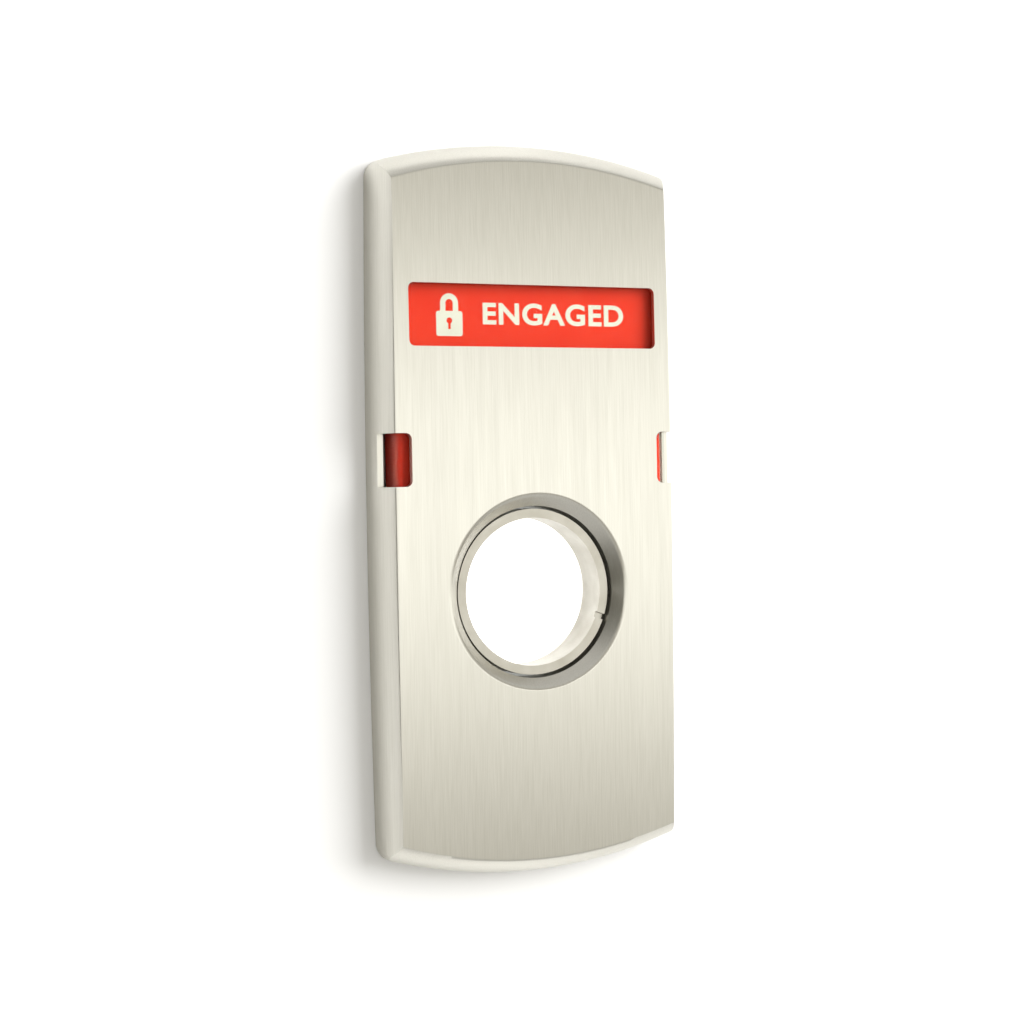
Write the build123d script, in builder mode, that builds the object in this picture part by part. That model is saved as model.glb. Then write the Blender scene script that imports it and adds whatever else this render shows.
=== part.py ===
"""Occupancy indicator escutcheon for a mortise lock, built piece by piece.

The origin is on the axis of the lock cylinder, where it meets the face of the door.
+Z is up and the indicator faces -Y, so every height below is a distance forward of the door.
"""
import os
from math import acos, atan2, cos, degrees, pi, radians, sin, sqrt, tan

from build123d import *

os.makedirs("parts", exist_ok=True)

# Running gap between two pieces that slide or turn on each other.
RUNNING_GAP = 0.05
# Gap between pieces that pass without touching.
PASSING_GAP = 0.3
# Gap around a piece that is dropped or bonded into its seat.
SEAT_GAP = 0.1

# Cover: outline, measured at the door.
COVER_HALF_WIDTH = 33.0
COVER_TOP = 90.7
COVER_BOTTOM = -57.2
SIDE_RISE = 0.8
TOP_RISE = 4.9
BOTTOM_RISE = 5.3
BACK_CORNER_RADIUS = 3.0

# Cover: section. An edge run is how far a rounded edge has come in where it meets the face.
COVER_DEPTH = 10.6
FACE_BOW = 1.0
WALL = 1.2
SIDE_WALL = 2.5
END_WALL = 4.7
EDGE_STRAIGHT = 2.0
SIDE_EDGE_RUN = 1.88
TOP_EDGE_RUN = 4.0
BOTTOM_EDGE_RUN = 3.4

# Cylinder bore.
CYLINDER_HOLE_RADIUS = 15.0
BORE_MOUTH_RADIUS = 19.6
BORE_RADIUS = 17.4
BORE_BOSS_WALL = 1.5

# Front window, and how far it lies below the top of the cover.
WINDOW_HEIGHT = 12.5
WINDOW_DROP = 35.15
WINDOW_CORNER = 1.2

# Side windows, cut across the left and right edges, and how far they lie below the front window.
SLOT_HEIGHT = 10.55
SLOT_DROP = 28.65
SLOT_REACH = 5.7
SLOT_DEPTH = 5.2
SLOT_CORNER = 1.3

# Lenses.
LENS_THICKNESS = 0.8
LENS_LEDGE = 1.4
SIDE_LENS_BACK = 3.0

# Base plate and the wheel layer in front of it.
BASE_THICKNESS = 1.6
BASE_GAP = 0.15
GEAR_THICKNESS = 2.0

# Sleeve around the cylinder.
SLEEVE_WALL = 1.8
SLEEVE_SETBACK = 0.8
SLEEVE_NOTCH_WIDTH = 1.2
SLEEVE_NOTCH_DEPTH = 0.8
SLEEVE_NOTCH_ANGLE = -20.0

# Gear train: ring sector, compound idler and rack.
GEAR_MODULE = 0.8
PRESSURE_ANGLE = 25.0
ADDENDUM = 0.56
DEDENDUM = 0.72
TOOTH_THINNING = 0.12
RING_TEETH = 52
IDLER_TEETH = 18
PINION_TEETH = 8
IDLER_FROM_SLIDER_EDGE = 10.0
RING_TURN = 90.0
SECTOR_SPARE_TEETH = 2
RACK_SPARE_TEETH = 3
# Steps along each tooth flank, and how far a tooth is let into its wheel.
FLANK_STEPS = 2
TOOTH_FOOT = 0.1

# Lug on the ring that takes the drive pin of the lock.
LUG_RADIUS = 22.8
LUG_ANGLE = -135.0
LUG_WIDTH = 6.0
DRIVE_PIN_HOLE = 1.5
DRIVE_SLOT_HALF_WIDTH = 2.4
DRIVE_SLOT_SPARE = 5.0

# Headed idler pin.
IDLER_PIN_RADIUS = 1.5
IDLER_PIN_HEAD_RADIUS = 2.4
IDLER_PIN_HEAD_HEIGHT = 0.4

# Slider, cards and flags.
SLIDER_SIDE_ROOM = 2.691
SLIDER_THICKNESS = 1.2
SLIDER_FLANGE = 1.2
SLIDER_MARGIN = 0.7
SLIDER_LEG_SPARE = 0.3
SLIDER_INSIDE_CORNER = 3.0
RACK_BAR_WIDTH = 3.0
CARD_THICKNESS = 0.3
CARD_MARGIN = 0.8
CARD_OVERLAP = 0.8
FLAG_OVERLAP = 0.6
FLAG_CORNER = 0.8

# Guide rails inside the flanges of the slider.
RAIL_THICKNESS = 1.0
RAIL_LENGTH = 25.0
RAIL_ABOVE_WINDOW = 8.45
RAIL_TAB_LENGTH = 4.0
RAIL_TAB_SPACING = 16.0

# Leaf spring that drags on the slider so that it stays where it is put.
SPRING_THICKNESS = 0.3
SPRING_WIDTH = 5.0
SPRING_CROWN_GAP = 0.1
SPRING_FOOT_X = 8.0
SPRING_SPAN = 14.0
SPRING_FOOT = 5.0
SPRING_BELOW_POST = 8.5
RIVET_RADIUS = 0.9
RIVET_HEAD_RADIUS = 1.6
RIVET_HEAD_HEIGHT = 0.5

# Threaded posts for the bolts that come through the door.
POST_SPACING = 100.0
POST_MIDDLE = 14.0
POST_FLATS = 7.0
POST_THREAD_HOLE = 1.65
POST_THREAD_DEPTH = 5.2

# Screws that hold the base plate to the cover.
SCREW_FROM_TOP = 8.7
SCREW_FROM_BOTTOM = 11.2
SCREW_FROM_SIDE = 9.0
SCREW_RADIUS = 1.25
SCREW_HEAD_RADIUS = 2.5
SCREW_HEAD_TAPER = 45.0
SCREW_LENGTH = 6.0
SCREW_HEAD_SUNK = 0.1
SCREW_BOSS_WIDTH = 4.8


def arc_radius(half_chord, rise):
    """Radius of the arc that rises this much over this half chord."""
    return (half_chord**2 + rise**2) / (2 * rise)


def edge_round(run):
    """Radius of a rounded edge that starts upright and has come in by run at the low ends of the face."""
    least = COVER_DEPTH - EDGE_STRAIGHT + PASSING_GAP
    return max(least, arc_radius(COVER_DEPTH - FACE_BOW - EDGE_STRAIGHT, run))


# Places on the face that follow from the sizes above. CEILING_RUN is how far the rounded edge of a side
# has come in at the height of the ceiling.
COVER_MIDDLE = (COVER_TOP + COVER_BOTTOM) / 2
COVER_HALF_HEIGHT = (COVER_TOP - COVER_BOTTOM) / 2
CEILING = COVER_DEPTH - FACE_BOW - WALL
SIDE_ROUND = edge_round(SIDE_EDGE_RUN)
CEILING_RUN = SIDE_ROUND - sqrt(SIDE_ROUND**2 - (CEILING - EDGE_STRAIGHT) ** 2)
SLIDER_HALF_WIDTH = COVER_HALF_WIDTH - CEILING_RUN - SLIDER_SIDE_ROOM
CARD_HALF_WIDTH = SLIDER_HALF_WIDTH - CARD_MARGIN
WINDOW_HALF_WIDTH = CARD_HALF_WIDTH - CARD_OVERLAP
WINDOW_CENTRE = COVER_TOP - WINDOW_DROP
SLOT_CENTRE = WINDOW_CENTRE - SLOT_DROP
SLOT_INNER_X = COVER_HALF_WIDTH - SLOT_REACH
RAIL_CENTRE = WINDOW_CENTRE + RAIL_ABOVE_WINDOW
UPPER_POST_Z = POST_MIDDLE + POST_SPACING / 2
LOWER_POST_Z = POST_MIDDLE - POST_SPACING / 2
SPRING_CENTRE = UPPER_POST_Z - SPRING_BELOW_POST
SCREW_TOP_Z = COVER_TOP - SCREW_FROM_TOP
SCREW_BOTTOM_X = COVER_HALF_WIDTH - SCREW_FROM_SIDE
SCREW_BOTTOM_Z = COVER_BOTTOM + SCREW_FROM_BOTTOM

# Heights in front of the door, worked back from the face and forward from the base plate.
LENS_FRONT = CEILING + LENS_THICKNESS
CARD_FRONT = CEILING - PASSING_GAP
SLIDER_FRONT = CARD_FRONT - CARD_THICKNESS
SLIDER_BACK = SLIDER_FRONT - SLIDER_THICKNESS
PINION_FRONT = SLIDER_BACK - PASSING_GAP
GEAR_BACK = BASE_THICKNESS + RUNNING_GAP
GEAR_FRONT = GEAR_BACK + GEAR_THICKNESS
BORE_BOSS_BACK = GEAR_FRONT + RUNNING_GAP
SLEEVE_FRONT = CEILING - SLEEVE_SETBACK

# Gear train.
SLEEVE_RADIUS = CYLINDER_HOLE_RADIUS + SLEEVE_WALL
RING_PITCH_RADIUS = GEAR_MODULE * RING_TEETH / 2
IDLER_PITCH_RADIUS = GEAR_MODULE * IDLER_TEETH / 2
PINION_PITCH_RADIUS = GEAR_MODULE * PINION_TEETH / 2
IDLER_X = SLIDER_HALF_WIDTH - IDLER_FROM_SLIDER_EDGE
IDLER_Z = sqrt((RING_PITCH_RADIUS + IDLER_PITCH_RADIUS) ** 2 - IDLER_X**2)
MESH_ANGLE = degrees(atan2(IDLER_Z, IDLER_X))
RACK_PITCH_X = IDLER_X + PINION_PITCH_RADIUS
TRAVEL = radians(RING_TURN) * RING_PITCH_RADIUS * PINION_TEETH / IDLER_TEETH
TOOTH_PITCH = pi * GEAR_MODULE


def front_plane(height):
    """Plane parallel to the door, this far in front of it, with X right and Z up."""
    return Plane.XZ.offset(height)


def cover_sides(side_inset, end_inset):
    """Centre, radius and edge rounding of each of the four bowed sides, moved inwards by the insets."""
    side = arc_radius(COVER_HALF_HEIGHT, SIDE_RISE)
    top = arc_radius(COVER_HALF_WIDTH, TOP_RISE)
    bottom = arc_radius(COVER_HALF_WIDTH, BOTTOM_RISE)
    return [
        ((COVER_HALF_WIDTH - side, COVER_MIDDLE), side - side_inset, SIDE_ROUND - side_inset),
        ((side - COVER_HALF_WIDTH, COVER_MIDDLE), side - side_inset, SIDE_ROUND - side_inset),
        ((0, COVER_TOP - top), top - end_inset, edge_round(TOP_EDGE_RUN) - end_inset),
        ((0, COVER_BOTTOM + bottom), bottom - end_inset, edge_round(BOTTOM_EDGE_RUN) - end_inset),
    ]


def cover_outline(side_inset, end_inset):
    """Outline of the cover seen from the front: four shallow arcs with rounded corners."""
    with BuildSketch() as outline:
        for index, (centre, radius, _) in enumerate(cover_sides(side_inset, end_inset)):
            with Locations(centre):
                Circle(radius, mode=Mode.INTERSECT if index else Mode.ADD)
        fillet(outline.vertices(), BACK_CORNER_RADIUS - side_inset / 2)
    return outline.sketch


def cover_form(inset, front):
    """Solid inside the outer surface of the cover, moved inwards by inset and cut flat at front."""
    with BuildPart() as form:
        with BuildSketch(front_plane(0)):
            add(cover_outline(inset, inset))
        extrude(amount=front)
        for centre, radius, edge_radius in cover_sides(inset, inset):
            edge_in = edge_radius - sqrt(edge_radius**2 - (front - EDGE_STRAIGHT) ** 2)
            with BuildSketch(Plane(origin=(centre[0], 0, centre[1]), x_dir=(1, 0, 0), z_dir=(0, 0, 1))):
                with BuildLine():
                    Polyline((0, -front), (0, 0), (radius, 0), (radius, -EDGE_STRAIGHT))
                    TangentArc((radius, -EDGE_STRAIGHT), (radius - edge_in, -front), tangent=(0, -1))
                    Line((radius - edge_in, -front), (0, -front))
                make_face()
            revolve(axis=Axis((centre[0], 0, centre[1]), (0, 1, 0)), mode=Mode.INTERSECT)
    return form.part


def gear_tooth(teeth, root_radius):
    """One involute tooth pointing along the sketch's X, reaching a little below the root circle."""
    pitch_radius = GEAR_MODULE * teeth / 2
    base_radius = pitch_radius * cos(radians(PRESSURE_ANGLE))
    tip_radius = pitch_radius + ADDENDUM
    involute_at_pitch = tan(radians(PRESSURE_ANGLE)) - radians(PRESSURE_ANGLE)
    half_at_pitch = pi / (2 * teeth) - TOOTH_THINNING / (2 * pitch_radius)
    start_radius = max(root_radius, base_radius)
    flank = []
    for step in range(FLANK_STEPS + 1):
        radius = start_radius + (tip_radius - start_radius) * step / FLANK_STEPS
        roll = acos(min(1.0, base_radius / radius))
        half_angle = half_at_pitch + involute_at_pitch - (tan(roll) - roll)
        flank.append((radius * cos(half_angle), radius * sin(half_angle)))
    foot_angle = atan2(flank[0][1], flank[0][0])
    foot_radius = root_radius - TOOTH_FOOT
    foot = (foot_radius * cos(foot_angle), foot_radius * sin(foot_angle))
    upper = [foot] + flank
    lower = [(x, -y) for x, y in upper]
    with BuildSketch() as tooth:
        with BuildLine():
            Polyline(*upper)
            Line(upper[-1], lower[-1])
            Polyline(*lower)
            Line(lower[0], upper[0])
        make_face()
    return tooth.sketch


def rack_tooth():
    """One straight-sided rack tooth pointing along the sketch's -X from the pitch line."""
    slope = tan(radians(PRESSURE_ANGLE))
    half_pitch_width = TOOTH_PITCH / 4 - TOOTH_THINNING / 2
    half_tip = half_pitch_width - ADDENDUM * slope
    half_root = half_pitch_width + DEDENDUM * slope
    foot_x = DEDENDUM + TOOTH_FOOT
    with BuildSketch() as tooth:
        with BuildLine():
            Polyline(
                (foot_x, half_root),
                (DEDENDUM, half_root),
                (-ADDENDUM, half_tip),
                (-ADDENDUM, -half_tip),
                (DEDENDUM, -half_root),
                (foot_x, -half_root),
                (foot_x, half_root),
            )
        make_face()
    return tooth.sketch


def save(part, name):
    """Label one finished piece and write it to its own file."""
    part.label = name
    export_step(part, f"parts/{name}.step")


# Escutcheon cover: bowed face, rounded edges that mitre at the corners, hollow behind.
face_radius = arc_radius(COVER_HALF_HEIGHT, FACE_BOW)
lens_seat_form = cover_form(WALL, LENS_FRONT)
screw_places = [(0, SCREW_TOP_Z), (-SCREW_BOTTOM_X, SCREW_BOTTOM_Z), (SCREW_BOTTOM_X, SCREW_BOTTOM_Z)]

with BuildPart() as cover_blank:
    add(cover_form(0, COVER_DEPTH))
    with BuildSketch(Plane.YZ):
        with Locations((face_radius - COVER_DEPTH, COVER_MIDDLE)):
            Circle(face_radius)
    extrude(amount=2 * COVER_HALF_WIDTH, both=True, mode=Mode.INTERSECT)

with BuildPart() as side_seats:
    add(lens_seat_form)
    with BuildSketch(front_plane(SIDE_LENS_BACK - SEAT_GAP)):
        for side in (-1, 1):
            with Locations((side * (SLOT_INNER_X - LENS_LEDGE + COVER_HALF_WIDTH), SLOT_CENTRE)):
                Rectangle(2 * COVER_HALF_WIDTH, SLOT_HEIGHT + 2 * LENS_LEDGE)
    extrude(amount=LENS_FRONT - SIDE_LENS_BACK + SEAT_GAP, mode=Mode.INTERSECT)

with BuildPart() as escutcheon_cover:
    add(cover_blank.part)
    with BuildSketch(front_plane(0)):
        add(cover_outline(SIDE_WALL, END_WALL))
    extrude(amount=CEILING, mode=Mode.SUBTRACT)
    with BuildSketch(front_plane(BORE_BOSS_BACK)):
        Circle(BORE_RADIUS + BORE_BOSS_WALL)
    extrude(amount=CEILING - BORE_BOSS_BACK)
    with BuildSketch(front_plane(BASE_THICKNESS)):
        with Locations(*screw_places):
            Rectangle(SCREW_BOSS_WIDTH, SCREW_BOSS_WIDTH)
    extrude(amount=CEILING - BASE_THICKNESS)
    with BuildSketch(front_plane(BASE_THICKNESS)):
        with Locations(*screw_places):
            Circle(SCREW_RADIUS + RUNNING_GAP)
    extrude(amount=SCREW_LENGTH - BASE_THICKNESS + PASSING_GAP, mode=Mode.SUBTRACT)
    # The bore is straight at the back and a 45 degree cone at the face.
    cone_reach = BORE_MOUTH_RADIUS + WALL
    with BuildSketch(Plane.XY):
        with BuildLine():
            Polyline(
                (0, -BORE_BOSS_BACK),
                (BORE_RADIUS, -BORE_BOSS_BACK),
                (BORE_RADIUS, BORE_MOUTH_RADIUS - BORE_RADIUS - COVER_DEPTH),
                (cone_reach, -COVER_DEPTH - WALL),
                (0, -COVER_DEPTH - WALL),
                (0, -BORE_BOSS_BACK),
            )
        make_face()
    revolve(axis=Axis.Y, mode=Mode.SUBTRACT)
    with BuildSketch(front_plane(CEILING)):
        with Locations((0, WINDOW_CENTRE)):
            RectangleRounded(2 * WINDOW_HALF_WIDTH, WINDOW_HEIGHT, WINDOW_CORNER)
    extrude(amount=COVER_DEPTH, mode=Mode.SUBTRACT)
    with BuildSketch(front_plane(CEILING)):
        with Locations((0, WINDOW_CENTRE)):
            Rectangle(2 * (WINDOW_HALF_WIDTH + LENS_LEDGE), WINDOW_HEIGHT + 2 * LENS_LEDGE)
    extrude(amount=LENS_THICKNESS, mode=Mode.SUBTRACT)
    with BuildSketch(front_plane(COVER_DEPTH - SLOT_DEPTH)):
        for side in (-1, 1):
            with Locations((side * (SLOT_INNER_X + COVER_HALF_WIDTH / 2), SLOT_CENTRE)):
                RectangleRounded(COVER_HALF_WIDTH, SLOT_HEIGHT, SLOT_CORNER)
    extrude(amount=COVER_DEPTH, mode=Mode.SUBTRACT)
    add(side_seats.part, mode=Mode.SUBTRACT)
save(escutcheon_cover.part, "escutcheon_cover")

# Window lens: clear plate bonded into its seat behind the face.
with BuildPart() as window_lens:
    with BuildSketch(front_plane(CEILING)):
        with Locations((0, WINDOW_CENTRE)):
            Rectangle(
                2 * (WINDOW_HALF_WIDTH + LENS_LEDGE - SEAT_GAP),
                WINDOW_HEIGHT + 2 * (LENS_LEDGE - SEAT_GAP),
            )
    extrude(amount=LENS_THICKNESS)
save(window_lens.part, "window_lens")

# Side lenses: clear strips that turn the corner behind the side windows.
side_lens_inner = cover_form(WALL + SEAT_GAP + LENS_THICKNESS, CEILING)
with BuildPart() as side_lens_pair:
    add(cover_form(WALL + SEAT_GAP, LENS_FRONT))
    add(side_lens_inner, mode=Mode.SUBTRACT)
    with BuildSketch(front_plane(SIDE_LENS_BACK)):
        for side in (-1, 1):
            with Locations((side * (SLOT_INNER_X - LENS_LEDGE + SEAT_GAP + COVER_HALF_WIDTH), SLOT_CENTRE)):
                Rectangle(2 * COVER_HALF_WIDTH, SLOT_HEIGHT + 2 * (LENS_LEDGE - SEAT_GAP))
    extrude(amount=LENS_FRONT - SIDE_LENS_BACK, mode=Mode.INTERSECT)
side_lens_left, side_lens_right = side_lens_pair.solids().sort_by(Axis.X)
save(side_lens_left, "side_lens_left")
save(side_lens_right, "side_lens_right")

# Base plate: closes the back of the cover and carries everything that moves.
post_places = [(0, UPPER_POST_Z), (0, LOWER_POST_Z)]
rail_middle_x = SLIDER_HALF_WIDTH - SLIDER_FLANGE - (PASSING_GAP + RAIL_THICKNESS) / 2
tab_places = [
    (side * rail_middle_x, RAIL_CENTRE + end * RAIL_TAB_SPACING / 2) for side in (-1, 1) for end in (-1, 1)
]
rivet_place = (SPRING_FOOT_X, SPRING_CENTRE)
slot_start = LUG_ANGLE - DRIVE_SLOT_SPARE
slot_sweep = RING_TURN + 2 * DRIVE_SLOT_SPARE
countersink_depth = SCREW_HEAD_RADIUS - SCREW_RADIUS
with BuildLine() as drive_slot_path:
    CenterArc((0, 0), LUG_RADIUS, slot_start, slot_sweep)
with BuildPart() as base_plate:
    with BuildSketch(front_plane(0)):
        add(cover_outline(SIDE_WALL + BASE_GAP, END_WALL + BASE_GAP))
        Circle(SLEEVE_RADIUS + RUNNING_GAP, mode=Mode.SUBTRACT)
        with Locations((IDLER_X, IDLER_Z)):
            Circle(IDLER_PIN_RADIUS + RUNNING_GAP, mode=Mode.SUBTRACT)
        with Locations(*post_places):
            RegularPolygon(POST_FLATS / 2 + RUNNING_GAP, 6, major_radius=False, mode=Mode.SUBTRACT)
        with Locations(*tab_places):
            Rectangle(
                RAIL_THICKNESS + 2 * RUNNING_GAP,
                RAIL_TAB_LENGTH + 2 * RUNNING_GAP,
                mode=Mode.SUBTRACT,
            )
        with Locations(rivet_place):
            Circle(RIVET_RADIUS + RUNNING_GAP, mode=Mode.SUBTRACT)
        with Locations(*screw_places):
            Circle(SCREW_RADIUS + SEAT_GAP, mode=Mode.SUBTRACT)
        SlotArc(drive_slot_path.edge(), 2 * DRIVE_SLOT_HALF_WIDTH, mode=Mode.SUBTRACT)
    extrude(amount=BASE_THICKNESS)
    with BuildSketch(front_plane(0)):
        with Locations(*screw_places):
            Circle(SCREW_HEAD_RADIUS + SEAT_GAP)
    extrude(amount=countersink_depth, taper=SCREW_HEAD_TAPER, mode=Mode.SUBTRACT)
save(base_plate.part, "base_plate")

# Bore sleeve: tube around the lock cylinder, with a locating notch in its front end.
with BuildPart() as bore_sleeve:
    with BuildSketch(front_plane(0)):
        Circle(SLEEVE_RADIUS)
        Circle(CYLINDER_HOLE_RADIUS, mode=Mode.SUBTRACT)
    extrude(amount=SLEEVE_FRONT)
    with BuildSketch(front_plane(SLEEVE_FRONT - SLEEVE_NOTCH_DEPTH)):
        with PolarLocations(SLEEVE_RADIUS, 1, start_angle=SLEEVE_NOTCH_ANGLE):
            Rectangle(3 * SLEEVE_WALL, SLEEVE_NOTCH_WIDTH)
    extrude(amount=SLEEVE_NOTCH_DEPTH, mode=Mode.SUBTRACT)
save(bore_sleeve.part, "bore_sleeve")

# Drive ring: turns on the sleeve between the base plate and the boss of the cover.
# It has a toothed sector, and a lug for the lock's drive pin.
ring_root_radius = RING_PITCH_RADIUS - DEDENDUM
ring_tooth_step = 360 / RING_TEETH
teeth_behind = int(RING_TURN / ring_tooth_step) + SECTOR_SPARE_TEETH
with BuildPart() as drive_ring:
    with BuildSketch(front_plane(GEAR_BACK)):
        Circle(ring_root_radius)
        with PolarLocations(
            0,
            teeth_behind + SECTOR_SPARE_TEETH + 1,
            start_angle=MESH_ANGLE - teeth_behind * ring_tooth_step,
            angular_range=(teeth_behind + SECTOR_SPARE_TEETH + 1) * ring_tooth_step,
        ):
            add(gear_tooth(RING_TEETH, ring_root_radius))
        with PolarLocations(LUG_RADIUS / 2, 1, start_angle=LUG_ANGLE):
            Rectangle(LUG_RADIUS, LUG_WIDTH)
        with PolarLocations(LUG_RADIUS, 1, start_angle=LUG_ANGLE):
            Circle(LUG_WIDTH / 2)
            Circle(DRIVE_PIN_HOLE, mode=Mode.SUBTRACT)
        Circle(SLEEVE_RADIUS + RUNNING_GAP, mode=Mode.SUBTRACT)
    extrude(amount=GEAR_THICKNESS)
save(drive_ring.part, "drive_ring")

# Idler: a wheel that meshes with the ring and, in one piece with it, the pinion for the rack.
idler_plane = Plane(origin=(IDLER_X, 0, IDLER_Z), x_dir=(1, 0, 0), z_dir=(0, -1, 0))
idler_root_radius = IDLER_PITCH_RADIUS - DEDENDUM
pinion_root_radius = PINION_PITCH_RADIUS - DEDENDUM
idler_bore = IDLER_PIN_RADIUS + RUNNING_GAP
with BuildPart() as idler_gear:
    with BuildSketch(idler_plane.offset(GEAR_BACK)):
        Circle(idler_root_radius)
        with PolarLocations(0, IDLER_TEETH, start_angle=MESH_ANGLE + 180 + 180 / IDLER_TEETH):
            add(gear_tooth(IDLER_TEETH, idler_root_radius))
        Circle(idler_bore, mode=Mode.SUBTRACT)
    extrude(amount=GEAR_THICKNESS)
    with BuildSketch(idler_plane.offset(GEAR_FRONT)):
        Circle(pinion_root_radius)
        with PolarLocations(0, PINION_TEETH):
            add(gear_tooth(PINION_TEETH, pinion_root_radius))
        Circle(idler_bore, mode=Mode.SUBTRACT)
    extrude(amount=PINION_FRONT - GEAR_FRONT)
save(idler_gear.part, "idler_gear")

# Idler pin: riveted into the base plate, with a head that keeps the idler on it.
pin_head_back = PINION_FRONT + RUNNING_GAP
with BuildPart() as idler_pin:
    with BuildSketch(idler_plane):
        Circle(IDLER_PIN_RADIUS)
    extrude(amount=pin_head_back)
    with BuildSketch(idler_plane.offset(pin_head_back)):
        Circle(IDLER_PIN_HEAD_RADIUS)
    extrude(amount=IDLER_PIN_HEAD_HEIGHT)
save(idler_pin.part, "idler_pin")

# Slider: carrier plate for the cards with a leg on each side of the bore, and the rack on the right leg.
flag_height = SLOT_HEIGHT + 2 * FLAG_OVERLAP
card_height = WINDOW_HEIGHT + 2 * CARD_OVERLAP
rack_tooth_count = int(TRAVEL / TOOTH_PITCH) + RACK_SPARE_TEETH
rack_first_z = IDLER_Z - TOOTH_PITCH / 2
rack_bottom = rack_first_z - TOOTH_PITCH / 2
rack_length = rack_tooth_count * TOOTH_PITCH
rack_places = [(RACK_PITCH_X, rack_first_z + index * TOOTH_PITCH) for index in range(rack_tooth_count)]
rack_back = GEAR_FRONT + PASSING_GAP
leg_bottom = min(rack_bottom, SLOT_CENTRE - flag_height / 2) - SLIDER_LEG_SPARE
leg_inner = RACK_PITCH_X + DEDENDUM
plate_bottom = WINDOW_CENTRE - card_height / 2 - SLIDER_MARGIN
plate_top = WINDOW_CENTRE + TRAVEL + card_height / 2 + SLIDER_MARGIN
slider_middle = (plate_top + leg_bottom) / 2
slider_height = plate_top - leg_bottom
flange_middle = SLIDER_HALF_WIDTH - SLIDER_FLANGE / 2
with BuildPart() as indicator_slider:
    with BuildSketch(front_plane(SLIDER_BACK)):
        with Locations((0, slider_middle)):
            Rectangle(2 * SLIDER_HALF_WIDTH, slider_height)
        with Locations((0, (plate_bottom + leg_bottom) / 2)):
            leg_gap = Rectangle(2 * leg_inner, plate_bottom - leg_bottom, mode=Mode.SUBTRACT)
        fillet(leg_gap.vertices().group_by(Axis.Y)[-1], SLIDER_INSIDE_CORNER)
    extrude(amount=SLIDER_THICKNESS)
    with BuildSketch(front_plane(BASE_THICKNESS + PASSING_GAP)):
        with Locations((-flange_middle, slider_middle), (flange_middle, slider_middle)):
            Rectangle(SLIDER_FLANGE, slider_height)
    extrude(amount=SLIDER_BACK - BASE_THICKNESS - PASSING_GAP)
    with BuildSketch(front_plane(rack_back)):
        with Locations((leg_inner + RACK_BAR_WIDTH / 2, rack_bottom + rack_length / 2)):
            Rectangle(RACK_BAR_WIDTH, rack_length)
        with Locations(*rack_places):
            add(rack_tooth())
    extrude(amount=SLIDER_BACK - rack_back)
    front_edges = indicator_slider.edges().filter_by(Axis.Z).group_by(Axis.Y)[0].sort_by(Axis.X)
    fillet([front_edges[0], front_edges[-1]], FLAG_CORNER - CARD_THICKNESS)
save(indicator_slider.part, "indicator_slider")

# Cards and flags: printed plates bonded to the slider, one pair of each for either state.
for state, middle in (("engaged", WINDOW_CENTRE), ("vacant", WINDOW_CENTRE + TRAVEL)):
    with BuildPart() as card:
        with BuildSketch(front_plane(SLIDER_FRONT)):
            with Locations((0, middle)):
                Rectangle(2 * CARD_HALF_WIDTH, card_height)
        extrude(amount=CARD_THICKNESS)
    save(card.part, f"{state}_card")

flag_inner = leg_inner + FLAG_OVERLAP
flag_outer = SLIDER_HALF_WIDTH + CARD_THICKNESS
for state, middle in (("engaged", SLOT_CENTRE), ("vacant", SLOT_CENTRE + TRAVEL)):
    for hand, side in (("left", -1), ("right", 1)):
        with BuildPart() as flag:
            with BuildSketch(Plane.XY.offset(middle - flag_height / 2)):
                with BuildLine():
                    flag_path = FilletPolyline(
                        (side * flag_inner, -CARD_FRONT),
                        (side * flag_outer, -CARD_FRONT),
                        (side * flag_outer, -BASE_THICKNESS - 2 * PASSING_GAP),
                        radius=FLAG_CORNER,
                    )
                    offset(amount=CARD_THICKNESS, side=Side.RIGHT if side > 0 else Side.LEFT)
                make_face()
            extrude(amount=flag_height)
        save(flag.part, f"{state}_flag_{hand}")

# Guide rails: plastic strips, tabbed into the base plate, that keep the slider straight.
for hand, side in (("left", -1), ("right", 1)):
    with BuildPart() as rail:
        with BuildSketch(front_plane(BASE_THICKNESS)):
            with Locations((side * rail_middle_x, RAIL_CENTRE)):
                Rectangle(RAIL_THICKNESS, RAIL_LENGTH)
        extrude(amount=PINION_FRONT - BASE_THICKNESS)
        with BuildSketch(front_plane(0)):
            with Locations(*[(x, z) for x, z in tab_places if side * x > 0]):
                Rectangle(RAIL_THICKNESS, RAIL_TAB_LENGTH)
        extrude(amount=BASE_THICKNESS)
    save(rail.part, f"guide_rail_{hand}")

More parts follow.
